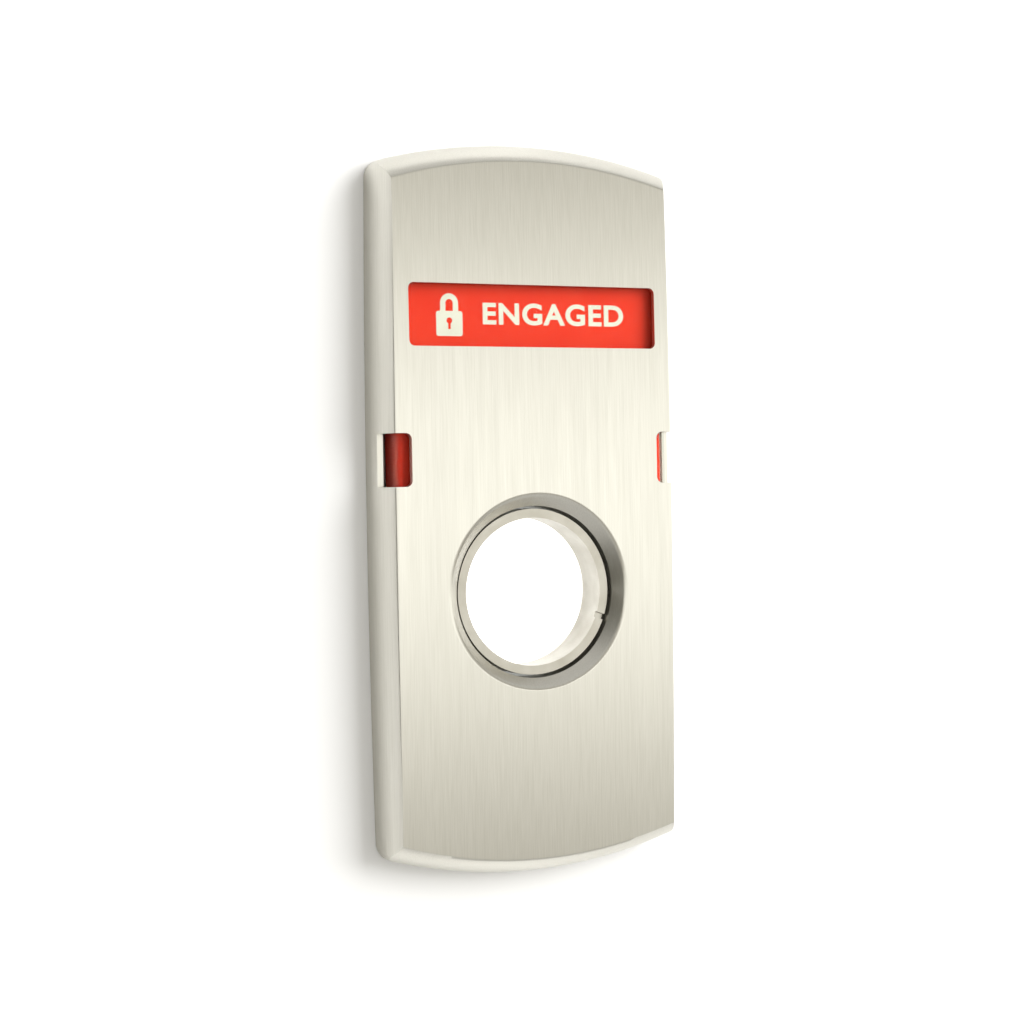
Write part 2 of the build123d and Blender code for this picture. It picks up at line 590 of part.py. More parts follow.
# Drag spring: an arched leaf riveted at one foot, with its crown against the back of the slider.
foot_end_x = SPRING_FOOT_X + SPRING_FOOT / 2
arch_start_x = SPRING_FOOT_X - SPRING_FOOT / 2
arch_end_x = arch_start_x - SPRING_SPAN
arch_middle_x = (arch_start_x + arch_end_x) / 2
spring_back = -BASE_THICKNESS
spring_top = spring_back - SPRING_THICKNESS
spring_crown = SPRING_CROWN_GAP - SLIDER_BACK
with BuildPart() as drag_spring:
    with BuildSketch(Plane.XY.offset(SPRING_CENTRE - SPRING_WIDTH / 2)):
        with BuildLine():
            Line((foot_end_x, spring_back), (arch_start_x, spring_back))
            ThreePointArc(
                (arch_start_x, spring_back),
                (arch_middle_x, spring_crown + SPRING_THICKNESS),
                (arch_end_x, spring_back),
            )
            Line((arch_end_x, spring_back), (arch_end_x - SPRING_THICKNESS, spring_back))
            ThreePointArc(
                (arch_end_x - SPRING_THICKNESS, spring_back),
                (arch_middle_x, spring_crown),
                (arch_start_x + SPRING_THICKNESS, spring_top),
            )
            Polyline(
                (arch_start_x + SPRING_THICKNESS, spring_top),
                (foot_end_x, spring_top),
                (foot_end_x, spring_back),
            )
        make_face()
    extrude(amount=SPRING_WIDTH)
    with BuildSketch(front_plane(BASE_THICKNESS)):
        with Locations(rivet_place):
            Circle(RIVET_RADIUS + RUNNING_GAP)
    extrude(amount=2 * SPRING_THICKNESS, mode=Mode.SUBTRACT)
save(drag_spring.part, "drag_spring")

# Rivet that holds the foot of the spring.
with BuildPart() as spring_rivet:
    with BuildSketch(front_plane(0)):
        with Locations(rivet_place):
            Circle(RIVET_RADIUS)
    extrude(amount=BASE_THICKNESS + SPRING_THICKNESS)
    with BuildSketch(front_plane(BASE_THICKNESS + SPRING_THICKNESS)):
        with Locations(rivet_place):
            Circle(RIVET_HEAD_RADIUS)
    extrude(amount=RIVET_HEAD_HEIGHT)
save(spring_rivet.part, "spring_rivet")

# Mounting posts: hexagonal bars, riveted into the base plate and tapped from behind.
for name, place in zip(("mounting_post_upper", "mounting_post_lower"), post_places):
    with BuildPart() as post:
        with BuildSketch(front_plane(0)):
            with Locations(place):
                RegularPolygon(POST_FLATS / 2, 6, major_radius=False)
        extrude(amount=PINION_FRONT)
        with BuildSketch(front_plane(0)):
            with Locations(place):
                Circle(POST_THREAD_HOLE)
        extrude(amount=POST_THREAD_DEPTH, mode=Mode.SUBTRACT)
    save(post.part, name)

# Screws that hold the base plate to the bosses of the cover.
with BuildPart() as base_screws:
    with BuildSketch(front_plane(SCREW_HEAD_SUNK)):
        with Locations(*screw_places):
            Circle(SCREW_RADIUS)
    extrude(amount=SCREW_LENGTH - SCREW_HEAD_SUNK)
    with BuildSketch(front_plane(SCREW_HEAD_SUNK)):
        with Locations(*screw_places):
            Circle(SCREW_HEAD_RADIUS - SCREW_HEAD_SUNK)
    extrude(amount=countersink_depth - SCREW_HEAD_SUNK, taper=SCREW_HEAD_TAPER)
save(base_screws.part, "base_screws")
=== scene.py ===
"""Dressed scene of a door occupancy indicator.

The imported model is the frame. The cover, legends, screws, posts, rivet and pin are modelled here over it,
and every other solid keeps its mesh and gets a finish. The origin is on the axis of the lock cylinder at
the face of the door, +Z is up, the indicator faces -Y, and all lengths are in metres.
"""
import logging
import math
from abc import ABC, abstractmethod
from collections.abc import Callable
from dataclasses import dataclass
from enum import Enum
from functools import cache
from typing import ClassVar

import bmesh
import bpy
from mathutils import Matrix, Vector


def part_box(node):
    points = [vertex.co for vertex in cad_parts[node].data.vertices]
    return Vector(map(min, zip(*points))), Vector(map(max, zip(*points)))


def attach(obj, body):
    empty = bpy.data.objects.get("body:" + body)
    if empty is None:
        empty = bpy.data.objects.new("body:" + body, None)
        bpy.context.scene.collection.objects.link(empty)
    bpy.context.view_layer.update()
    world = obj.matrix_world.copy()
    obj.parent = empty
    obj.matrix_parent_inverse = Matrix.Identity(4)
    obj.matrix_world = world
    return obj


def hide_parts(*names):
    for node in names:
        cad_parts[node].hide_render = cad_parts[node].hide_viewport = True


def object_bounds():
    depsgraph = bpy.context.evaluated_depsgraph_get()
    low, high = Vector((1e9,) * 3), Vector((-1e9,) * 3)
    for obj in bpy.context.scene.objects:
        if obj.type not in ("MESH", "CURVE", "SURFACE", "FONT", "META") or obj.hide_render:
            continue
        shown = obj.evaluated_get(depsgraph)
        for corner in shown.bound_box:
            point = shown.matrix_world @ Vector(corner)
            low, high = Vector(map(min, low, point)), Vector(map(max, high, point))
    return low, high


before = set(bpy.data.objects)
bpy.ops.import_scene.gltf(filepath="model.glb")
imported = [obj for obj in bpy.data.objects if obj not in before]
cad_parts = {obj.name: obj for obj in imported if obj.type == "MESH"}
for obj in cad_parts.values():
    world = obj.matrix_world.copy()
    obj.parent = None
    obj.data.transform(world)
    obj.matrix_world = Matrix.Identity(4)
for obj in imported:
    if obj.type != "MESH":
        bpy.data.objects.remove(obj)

LOG = logging.getLogger("indicator")
CAD_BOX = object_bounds()
MM = 0.001
WHITE = (1.0, 1.0, 1.0, 1.0)

# A face looks along an axis, or an edge runs along it, where its direction has more than this of it.
ALONG = 0.9
# How far a tool reaches past the solid that it cuts.
PAST = 1.0 * MM
# X and Z of the screws that hold the base plate in the cover.
SCREW_PLACES = ((0.0, 82.0 * MM), (-24.0 * MM, -46.0 * MM), (24.0 * MM, -46.0 * MM))
# Sockets of the Mix node that carry colours.
MIX_FIRST, MIX_SECOND, MIX_RESULT = 6, 7, 2
# Values between which most of a noise lies, and how strong its finer layers are.
NOISE_LOW, NOISE_HIGH, NOISE_ROUGHNESS = 0.3, 0.7, 0.6

Shape = bpy.types.Object
Material = bpy.types.Material
Tree = bpy.types.NodeTree
Socket = bpy.types.NodeSocket
Inputs = dict[str | int, object]
Outputs = bpy.types.NodeOutputs
Colour = tuple[float, float, float, float]
Point = tuple[float, float, float]
Place = tuple[float, float]
Size = tuple[float, float]
Circle = tuple[Place, float]


class Body(Enum):
    """Rigid bodies that a modelled piece rides on."""

    HOUSING = "housing"
    INDICATOR = "indicator"


class Cut(Enum):
    """What a tool solid does to the solid that it is used on."""

    TAKE_AWAY = "DIFFERENCE"
    JOIN = "UNION"
    KEEP_COMMON = "INTERSECT"


class End(Enum):
    """Which way a face looks, as the sign of its normal along Y."""

    FRONT = -1
    BACK = 1


class Element(Enum):
    """What is selected on a mesh, as Blender names the select mode."""

    POINTS = "VERT"
    EDGES = "EDGE"
    FACES = "FACE"


def linear(hex_colour: str) -> Colour:
    """Turn a screen colour into the linear colour that a shader takes.

    Args:
        hex_colour: Six hexadecimal digits, as a paint program shows them.

    Returns:
        Red, green, blue and an alpha of 1.
    """
    channels = []
    for start in (0, 2, 4):
        value = int(hex_colour[start:start + 2], 16) / 255
        channels.append(value / 12.92 if value <= 0.04045 else ((value + 0.055) / 1.055) ** 2.4)
    return (*channels, 1.0)


def add_node(tree: Tree, kind: str, inputs: Inputs | None = None, **settings: object) -> Outputs:
    """Add one shader node.

    Args:
        tree: Node tree that it goes into.
        kind: Blender's name of the node type, without its prefix.
        inputs: Sockets, numbers or colours that feed it, by the name or number of the input.
        settings: Properties of the node, by name.

    Returns:
        The outputs of the node.
    """
    node = tree.nodes.new(f"ShaderNode{kind}")
    for name, value in settings.items():
        setattr(node, name, value)
    for name, value in (inputs or {}).items():
        if isinstance(value, Socket):
            tree.links.new(value, node.inputs[name])
        else:
            node.inputs[name].default_value = value
    return node.outputs


def new_material(name: str) -> tuple[Material, Tree]:
    """Make an empty node material.

    Args:
        name: Name of the real material.

    Returns:
        The material and its empty node tree.
    """
    material = bpy.data.materials.new(name)
    material.use_nodes = True
    material.node_tree.nodes.clear()
    return material, material.node_tree


def stretched_noise(tree: Tree, size: Point, detail: float = 2.0) -> Socket:
    """Noise in object space whose grain has a real size along each axis.

    Args:
        tree: Node tree that it goes into.
        size: Length of the grain along X, Y and Z, in metres.
        detail: How many finer layers are added.

    Returns:
        The socket with the noise, from 0 to 1.
    """
    place = add_node(tree, "TexCoord")["Object"]
    scale = tuple(1 / length for length in size)
    grain = add_node(tree, "Mapping", {"Vector": place, "Scale": scale})["Vector"]
    look = {"Vector": grain, "Scale": 1.0, "Detail": detail, "Roughness": NOISE_ROUGHNESS}
    return add_node(tree, "TexNoise", look)["Fac"]


def ranged(tree: Tree, source: Socket, low: float, high: float) -> Socket:
    """Spread the middle of a noise over a range of values."""
    span = {"From Min": NOISE_LOW, "From Max": NOISE_HIGH, "To Min": low, "To Max": high}
    return add_node(tree, "MapRange", {"Value": source, **span})["Result"]


def blended(tree: Tree, amount: Socket, first: Colour | Socket, second: Colour) -> Socket:
    """Mix two colours, by the share of the second."""
    inputs = {"Factor": amount, MIX_FIRST: first, MIX_SECOND: second}
    return add_node(tree, "Mix", inputs, data_type="RGBA")[MIX_RESULT]


def larger(tree: Tree, first: Socket, second: Socket | float) -> Socket:
    """Give the larger of two values."""
    return add_node(tree, "Math", {0: first, 1: second}, operation="MAXIMUM")["Value"]


def on_paths(tree: Tree, first: str, second: str) -> Socket:
    """Give 1 on two kinds of light path, by Blender's names, and 0 on the others."""
    path = add_node(tree, "LightPath")
    return larger(tree, path[first], path[second])


def mixed(tree: Tree, amount: Socket, first: Socket, second: Socket) -> Socket:
    """Mix two shaders, by the share of the second."""
    return add_node(tree, "MixShader", {0: amount, 1: first, 2: second})["Shader"]


@dataclass(frozen=True)
class Finish(ABC):
    """Look of one real material, under the name that its material gets."""

    name: str

    @abstractmethod
    def material(self) -> Material:
        """Make the node material."""


@dataclass(frozen=True)
class Grained(Finish):
    """Metal or plastic with a grain: two tints, a range of roughness and a fine relief."""

    light: str
    dark: str
    smooth: float
    rough: float
    relief: ClassVar[float]
    relief_depth: ClassVar[float] = 0.02 * MM

    def coat(self, tree: Tree, tint: Socket, sheen: Socket, grain: Socket, inputs: Inputs) -> None:
        """Add the shader of the surface.

        Args:
            tree: Node tree of the material.
            tint: Pattern that mixes the two tints.
            sheen: Pattern of the roughness.
            grain: Pattern of the relief.
            inputs: What else feeds the shader, by the name of the input.
        """
        relief = {"Height": grain, "Strength": self.relief, "Distance": self.relief_depth}
        colour = blended(tree, ranged(tree, tint, 0.0, 1.0), linear(self.dark), linear(self.light))
        surface = {
            "Base Color": colour,
            "Roughness": ranged(tree, sheen, self.smooth, self.rough),
            "Normal": add_node(tree, "Bump", relief)["Normal"],
        }
        add_node(tree, "OutputMaterial", {0: add_node(tree, "BsdfPrincipled", surface | inputs)["BSDF"]})

    def clouded(self, grain: Point, detail: float, cloud: float, inputs: Inputs) -> Material:
        """Make a material with a fine grain in roughness and relief, and a faint cloud in its colour.

        Args:
            grain: Length of the grain along X, Y and Z.
            detail: How many finer layers the grain has.
            cloud: Width of the clouds.
            inputs: What else feeds the shader, by the name of the input.

        Returns:
            The material.
        """
        material, tree = new_material(self.name)
        fine = stretched_noise(tree, grain, detail)
        self.coat(tree, stretched_noise(tree, (cloud, cloud, cloud)), fine, fine, inputs)
        return material


@dataclass(frozen=True)
class BrushedSteel(Grained):
    """Satin stainless steel: long fine lines from the brushing belt and soft stretched reflections."""

    line: Size = (0.22 * MM, 14 * MM)
    broad_line: Size = (1.1 * MM, 28 * MM)
    detail: float = 3.0
    stretch: float = 0.6
    relief: ClassVar[float] = 0.05

    def material(self) -> Material:
        """Make the steel, with its fine lines in colour and height, and broad ones in roughness.

        Returns:
            The material.
        """
        material, tree = new_material(self.name)
        fine = stretched_noise(tree, (self.line[0], *self.line), self.detail)
        broad = stretched_noise(tree, (self.broad_line[0], *self.broad_line))
        tangent = add_node(tree, "Tangent", direction_type="RADIAL", axis="Z")["Tangent"]
        inputs = {"Metallic": 1.0, "Anisotropic": self.stretch, "Tangent": tangent}
        self.coat(tree, fine, broad, fine, inputs)
        return material


@dataclass(frozen=True)
class PlainMetal(Grained):
    """Turned, pressed or plated metal: a fine grain in its roughness and a faint change of colour."""

    grain: Point
    detail: float = 4.0
    cloud: float = 6 * MM
    relief: ClassVar[float] = 0.15

    def material(self) -> Material:
        """Make the metal."""
        return self.clouded(self.grain, self.detail, self.cloud, {"Metallic": 1.0})


@dataclass(frozen=True)
class Plastic(Grained):
    """Moulded or printed plastic: a fine texture of the mould and a slightly uneven gloss."""

    gloss: float = 0.5
    grain: float = 0.35 * MM
    detail: float = 3.0
    cloud: float = 8 * MM
    relief: ClassVar[float] = 0.1

    def material(self) -> Material:
        """Make the plastic."""
        grain = (self.grain, self.grain, self.grain)
        return self.clouded(grain, self.detail, self.cloud, {"Specular IOR Level": self.gloss})


@dataclass(frozen=True)
class ClearPlate(Finish):
    """Clear polycarbonate: nearly invisible, with a thin reflection and faint handling marks."""

    tint: str = "fbfdfc"
    marks: float = 3 * MM
    smooth: float = 0.015
    rough: float = 0.04
    ior: float = 1.49
    straight: float = 0.93

    def material(self) -> Material:
        """Make the lens. It lets lamp light through to the cards, and most of what is seen goes straight.

        Returns:
            The material.
        """
        material, tree = new_material(self.name)
        marks = stretched_noise(tree, (self.marks, self.marks, self.marks))
        roughness = ranged(tree, marks, self.smooth, self.rough)
        tint = linear(self.tint)
        body = {"Base Color": tint, "IOR": self.ior, "Transmission Weight": 1.0, "Roughness": roughness}
        glass = add_node(tree, "BsdfPrincipled", body)["BSDF"]
        clear = add_node(tree, "BsdfTransparent", {"Color": tint})["BSDF"]
        through = larger(tree, on_paths(tree, "Is Shadow Ray", "Is Diffuse Ray"), self.straight)
        add_node(tree, "OutputMaterial", {0: mixed(tree, through, glass, clear)})
        return material


@cache
def material_of(finish: Finish) -> Material:
    """Give the material of a finish, made the first time."""
    return finish.material()


STAINLESS = BrushedSteel("brushed_stainless_steel", "e4e2da", "dad8cf", 0.31, 0.35)
TURNED_STEEL = PlainMetal("turned_steel", "d6d3ca", "c2beb3", 0.28, 0.42, (0.12 * MM, 1.5 * MM, 0.12 * MM))
PLATED_STEEL = PlainMetal("zinc_plated_steel", "c9cbcc", "b4b7b9", 0.28, 0.42, (0.8 * MM, 0.8 * MM, 0.8 * MM))
SPRING_STEEL = PlainMetal("spring_steel", "8e8f92", "7a7b7f", 0.22, 0.34, (2 * MM, 0.15 * MM, 0.15 * MM))
BRASS = PlainMetal("turned_brass", "d9b878", "c6a25f", 0.28, 0.42, (0.12 * MM, 1.0 * MM, 0.12 * MM))
RED_CARD = Plastic("red_printed_card", "ee3c25", "e93520", 0.5, 0.6, 0.12)
GREEN_CARD = Plastic("green_printed_card", "1f9a50", "1a9149", 0.5, 0.6, 0.12)
WHITE_INK = Plastic("white_ink", "ece6d8", "e4decf", 0.5, 0.6, 0.2)
WHITE_ACETAL = Plastic("white_acetal", "ecebe5", "e2e0d8", 0.34, 0.46)
BLACK_ACETAL = Plastic("black_acetal", "2b2b2d", "222224", 0.34, 0.46)
CLEAR = ClearPlate("clear_polycarbonate")


class Bench:
    """Modelling steps that every sub-assembly uses."""

    @staticmethod
    def leave() -> None:
        """Leave edit mode."""
        bpy.ops.object.mode_set(mode="OBJECT")

    @staticmethod
    def clear() -> None:
        """Leave edit mode and select nothing."""
        if bpy.context.object and bpy.context.object.mode != "OBJECT":
            Bench.leave()
        bpy.ops.object.select_all(action="DESELECT")

    @staticmethod
    def pick(shape: Shape) -> None:
        """Make one object the only selected one, and active.

        Args:
            shape: The object.
        """
        Bench.clear()
        shape.select_set(True)
        bpy.context.view_layer.objects.active = shape

    @staticmethod
    def edit(shape: Shape) -> None:
        """Open one object in edit mode with nothing selected.

        Args:
            shape: The object.
        """
        Bench.pick(shape)
        bpy.ops.object.mode_set(mode="EDIT")
        bpy.ops.mesh.select_all(action="DESELECT")

    @staticmethod
    def select_all() -> None:
        """Select the whole mesh, in edit mode."""
        bpy.ops.mesh.select_all(action="SELECT")

    @staticmethod
    def select(shape: Shape, kind: Element, test: Callable[[object], bool]) -> int:
        """Select the points, edges or faces that pass a test, in edit mode.

        Args:
            shape: Object in edit mode.
            kind: What is selected.
            test: Called with each element; true selects it.

        Returns:
            How many elements were selected.
        """
        bpy.ops.mesh.select_mode(type=kind.value)
        bpy.ops.mesh.select_all(action="DESELECT")
        mesh = bmesh.from_edit_mesh(shape.data)
        elements = {Element.POINTS: mesh.verts, Element.EDGES: mesh.edges, Element.FACES: mesh.faces}
        chosen = [element for element in elements[kind] if test(element)]
        for element in chosen:
            element.select_set(True)
        mesh.select_flush_mode()
        bmesh.update_edit_mesh(shape.data)
        return len(chosen)

    @staticmethod
    def select_end(shape: Shape, end: End) -> None:
        """Select the faces that look to the front or the back, in edit mode."""
        Bench.select(shape, Element.FACES, lambda face: end.value * face.normal.y > ALONG)

    @staticmethod
    def pull(way: Point) -> None:
        """Extrude what is selected, in edit mode."""
        bpy.ops.mesh.extrude_region_move(TRANSFORM_OT_translate={"value": way})

    @staticmethod
    def widen(grow: float, centre: Point) -> None:
        """Scale what is selected along X and Z, in edit mode."""
        bpy.ops.transform.resize(value=(grow, 1, grow), center_override=centre)

    @staticmethod
    def turn(angle: float, centre: Point) -> None:
        """Turn what is selected about an axis along Y, in edit mode."""
        bpy.ops.transform.rotate(value=angle, orient_axis="Y", center_override=centre, orient_type="GLOBAL")

    @staticmethod
    def outward(shape: Shape, reach: float = 0.0005 * MM) -> None:
        """Merge points that lie close together and turn all faces outwards.

        Args:
            shape: The object.
            reach: Points that are closer than this are merged.
        """
        Bench.edit(shape)
        Bench.select_all()
        bpy.ops.mesh.remove_doubles(threshold=reach)
        bpy.ops.mesh.normals_make_consistent(inside=False)
        Bench.leave()

    @staticmethod
    def face_front(shape: Shape) -> None:
        """Make a flat mesh look to the front, in edit mode.

        Args:
            shape: Object in edit mode.
        """
        Bench.select_all()
        bpy.ops.mesh.normals_make_consistent(inside=False)
        mesh = bmesh.from_edit_mesh(shape.data)
        mesh.normal_update()
        if next(iter(mesh.faces)).normal.y > 0:
            bpy.ops.mesh.flip_normals()

    @staticmethod
    def modify(shape: Shape, kind: str, settings: dict[str, object]) -> None:
        """Put one modifier on a shape and apply it.

        Args:
            shape: Solid that is changed.
            kind: Blender's name of the modifier type.
            settings: Properties of the modifier, by name.
        """
        Bench.pick(shape)
        step = shape.modifiers.new(kind.lower(), kind)
        for name, value in settings.items():
            setattr(step, name, value)
        bpy.ops.object.modifier_apply(modifier=step.name)

    @staticmethod
    def combine(shape: Shape, tool: Shape, cut: Cut) -> None:
        """Use one solid, the tool, on another, and remove the tool."""
        Bench.modify(shape, "BOOLEAN", {"object": tool, "operation": cut.value, "solver": "EXACT"})
        bpy.data.objects.remove(tool, do_unlink=True)

    @staticmethod
    def soften(shape: Shape, width: float, angle: float = 28.0, segments: int = 2) -> None:
        """Round every edge that turns more than an angle in degrees, by a width and in some segments."""
        limits = {"limit_method": "ANGLE", "angle_limit": math.radians(angle)}
        Bench.modify(shape, "BEVEL", {"width": width, "segments": segments, **limits})

    @staticmethod
    def shade(shape: Shape, angle: float = 32.0) -> None:
        """Shade smooth across edges that turn less than an angle in degrees."""
        Bench.pick(shape)
        bpy.ops.object.shade_smooth_by_angle(angle=math.radians(angle))

    @staticmethod
    def settle() -> Shape:
        """Put the place of the new primitive into its mesh, and give the primitive."""
        bpy.ops.object.transform_apply(location=True, rotation=True, scale=True)
        return bpy.context.object

    @staticmethod
    def rod(radius: float, back: float, front: float, place: Place, sides: int) -> Shape:
        """Round or many-sided bar along Y.

        Args:
            radius: Radius to its corners.
            back: Where it starts, as a distance forward of the door.
            front: Where it ends, likewise.
            place: X and Z of its axis.
            sides: How many sides it has.

        Returns:
            The bar.
        """
        Bench.clear()
        bpy.ops.mesh.primitive_cylinder_add(
            vertices=sides,
            radius=radius,
            depth=front - back,
            location=(place[0], -(front + back) / 2, place[1]),
            rotation=(math.pi / 2, 0, 0),
        )
        return Bench.settle()

    @staticmethod
    def block(
        size: Size, back: float, front: float, place: Place, corner: float = 0.0, steps: int = 8
    ) -> Shape:
        """Rectangular bar along Y, with round corners if a radius is given.

        Args:
            size: Width along X and height along Z.
            back: Where it starts, as a distance forward of the door.
            front: Where it ends, likewise.
            place: X and Z of its middle.
            corner: Radius of its four long edges.
            steps: How many faces make a round corner.

        Returns:
            The bar.
        """
        Bench.clear()
        bpy.ops.mesh.primitive_cube_add(size=1, location=(place[0], -(front + back) / 2, place[1]))
        bpy.context.object.scale = (size[0], front - back, size[1])
        shape = Bench.settle()
        if corner:

            def is_long(edge: bmesh.types.BMEdge) -> bool:
                """True for an edge that runs from back to front."""
                return abs((edge.verts[0].co - edge.verts[1].co).normalized().y) > ALONG

            Bench.edit(shape)
            Bench.select(shape, Element.EDGES, is_long)
            bpy.ops.mesh.bevel(offset=corner, segments=steps, affect="EDGES")
            Bench.leave()
        return shape

    @staticmethod
    def piece(
        shape: Shape, name: str, body: Body, slot: str, finish: Finish, nodes: tuple[str, ...] = ()
    ) -> None:
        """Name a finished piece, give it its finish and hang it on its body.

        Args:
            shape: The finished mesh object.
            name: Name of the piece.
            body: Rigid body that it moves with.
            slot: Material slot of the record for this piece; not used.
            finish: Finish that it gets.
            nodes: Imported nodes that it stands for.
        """
        shape.name = name
        shape.data.name = name
        shape.data.materials.clear()
        shape.data.materials.append(material_of(finish))
        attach(shape, body.value)
        if nodes:
            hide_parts(*nodes)
        LOG.info("%s: %d faces, rides on %s", name, len(shape.data.polygons), body.value)


def arc_radius(half_chord: float, rise: float) -> float:
    """Radius of the arc that rises this much over this half chord."""
    return (half_chord**2 + rise**2) / (2 * rise)


def meeting_point(first: Circle, second: Circle, near: Place) -> Place:
    """Find where two circles cross.

    Args:
        first: Centre and radius.
        second: Centre and radius.
        near: The crossing nearest to this point is given.

    Returns:
        The crossing.
    """
    (ax, az), ra = first
    (bx, bz), rb = second
    gap = math.hypot(bx - ax, bz - az)
    along = (ra**2 - rb**2 + gap**2) / (2 * gap)
    across = math.sqrt(ra**2 - along**2)
    ux, uz = (bx - ax) / gap, (bz - az) / gap
    ends = [(ax + along * ux - s * across * uz, az + along * uz + s * across * ux) for s in (-1, 1)]
    return min(ends, key=lambda end: math.hypot(end[0] - near[0], end[1] - near[1]))


@dataclass(frozen=True)
class Side:
    """One bowed side of the cover and the rounded edge above it."""

    centre: Place
    radius: float
    edge_round: float
    half_turn: float
    facing: float

    def moved_in(self, inset: float) -> "Side":
        """The same side, moved towards the middle of the cover."""
        return Side(self.centre, self.radius - inset, self.edge_round - inset, self.half_turn, self.facing)


@dataclass
class Cover:
    """Escutcheon cover: bowed face, rounded edges that mitre at the corners, hollow behind.

    The fields named *_cosine and *_off say which corners of faces belong to the bowed face: those of its
    flat strips, and those where a rounding touches it. The last nine say how close points are that are
    the same or lie on the rim of the bore, and how far the tools for the edges and the face reach past
    the cover.
    """

    half_width: float = CAD_BOX[1].x
    top: float = CAD_BOX[1].z
    bottom: float = CAD_BOX[0].z
    depth: float = -CAD_BOX[0].y
    side_rise: float = 0.8 * MM
    top_rise: float = 4.9 * MM
    bottom_rise: float = 5.3 * MM
    corner: float = 3.0 * MM
    corner_half_angle: float = 49.0
    corner_steps: int = 9
    bow: float = 1.0 * MM
    bow_steps: int = 36
    wall: float = 1.2 * MM
    side_wall: float = 2.5 * MM
    end_wall: float = 4.7 * MM
    edge_straight: float = 2.0 * MM
    side_edge_run: float = 1.88 * MM
    top_edge_run: float = 4.0 * MM
    bottom_edge_run: float = 3.4 * MM
    edge_steps: int = 14
    ceiling: float = 8.4 * MM
    mouth: float = 19.6 * MM
    bore: float = 17.4 * MM
    bore_sides: int = 128
    boss_wall: float = 1.5 * MM
    boss_back: float = 3.7 * MM
    rim_rounding: float = 0.55 * MM
    rim_steps: int = 5
    window: Size = (54.8 * MM, 12.5 * MM)
    window_centre: float = 55.55 * MM
    window_corner: float = 1.2 * MM
    lens: float = 0.8 * MM
    lens_back: float = 2.9 * MM
    ledge: float = 1.4 * MM
    slot_height: float = 10.55 * MM
    slot_centre: float = 26.9 * MM
    slot_inner: float = 27.3 * MM
    slot_back: float = 5.4 * MM
    slot_corner: float = 1.3 * MM
    base: float = 1.6 * MM
    screw_boss: Size = (4.8 * MM, 4.8 * MM)
    screw_hole: float = 1.3 * MM
    screw_depth: float = 6.3 * MM
    screw_sides: int = 32
    edge_softness: float = 0.16 * MM
    side_steps: int = 26
    tidy_reach: float = 0.03 * MM
    rounding_off: float = 0.01 * MM
    rounding_cosine: float = 0.5
    strip_off: float = 0.08 * MM
    strip_cosine: float = 0.9995
    same: float = 0.1 * MM
    rim_near: float = 0.02 * MM
    rim_band: float = 0.5 * MM
    edge_clear: float = 0.01 * MM
    edge_spare: float = 2 * MM
    edge_overrun: float = 1.25
    block_past_sides: float = 1.2
    block_past_ends: float = 1.05
    block_depths: float = 3.0

    @property
    def half_height(self) -> float:
        """Half of the height over all."""
        return (self.top - self.bottom) / 2

    @property
    def middle(self) -> float:
        """Height of the middle of the cover."""
        return (self.top + self.bottom) / 2

    @property
    def bow_radius(self) -> float:
        """Radius of the bowed face."""
        return arc_radius(self.half_height, self.bow)

    @property
    def bow_centre(self) -> Vector:
        """A point on the far axis that the face is bowed about."""
        return Vector((0, self.bow_radius - self.depth, self.middle))

    def edge_round(self, run: float) -> float:
        """Radius of an edge that starts upright and has come in by run at the low ends of the face."""
        return arc_radius(self.depth - self.bow - self.edge_straight, run)

    def side(self, way: Place, reach: float, half_chord: float, rise: float, run: float) -> Side:
        """One side of the cover.

        Args:
            way: Direction in X and Z that it faces.
            reach: How far that way it reaches.
            half_chord: Half of its length.
            rise: How far its middle stands out from its ends.
            run: How far its rounded edge has come in at the low ends of the face.

        Returns:
            The side.
        """
        x, z = way
        radius = arc_radius(half_chord, rise)
        centre = (x * (reach - radius), abs(x) * self.middle + z * (reach - radius))
        return Side(centre, radius, self.edge_round(run), math.asin(half_chord / radius), math.atan2(z, x))

    def sides(self) -> list[Side]:
        """Right, bottom, left and top side."""
        wide, tall = self.half_width, self.half_height
        return [
            self.side((1, 0), wide, tall, self.side_rise, self.side_edge_run),
            self.side((0, -1), -self.bottom, wide, self.bottom_rise, self.bottom_edge_run),
            self.side((-1, 0), wide, tall, self.side_rise, self.side_edge_run),
            self.side((0, 1), self.top, wide, self.top_rise, self.top_edge_run),
        ]

    @staticmethod
    def new_point(place: Point) -> Shape:
        """Start a shape in edit mode as a single selected point.

        Args:
            place: Where the point is.

        Returns:
            The object.
        """
        Bench.clear()
        bpy.ops.mesh.primitive_plane_add(size=MM, location=(0, 0, 0))
        shape = bpy.context.object
        bpy.ops.object.mode_set(mode="EDIT")
        bpy.ops.mesh.select_mode(type="VERT")
        Bench.select_all()
        bpy.ops.mesh.merge(type="CENTER")
        bpy.ops.transform.translate(value=place)
        return shape

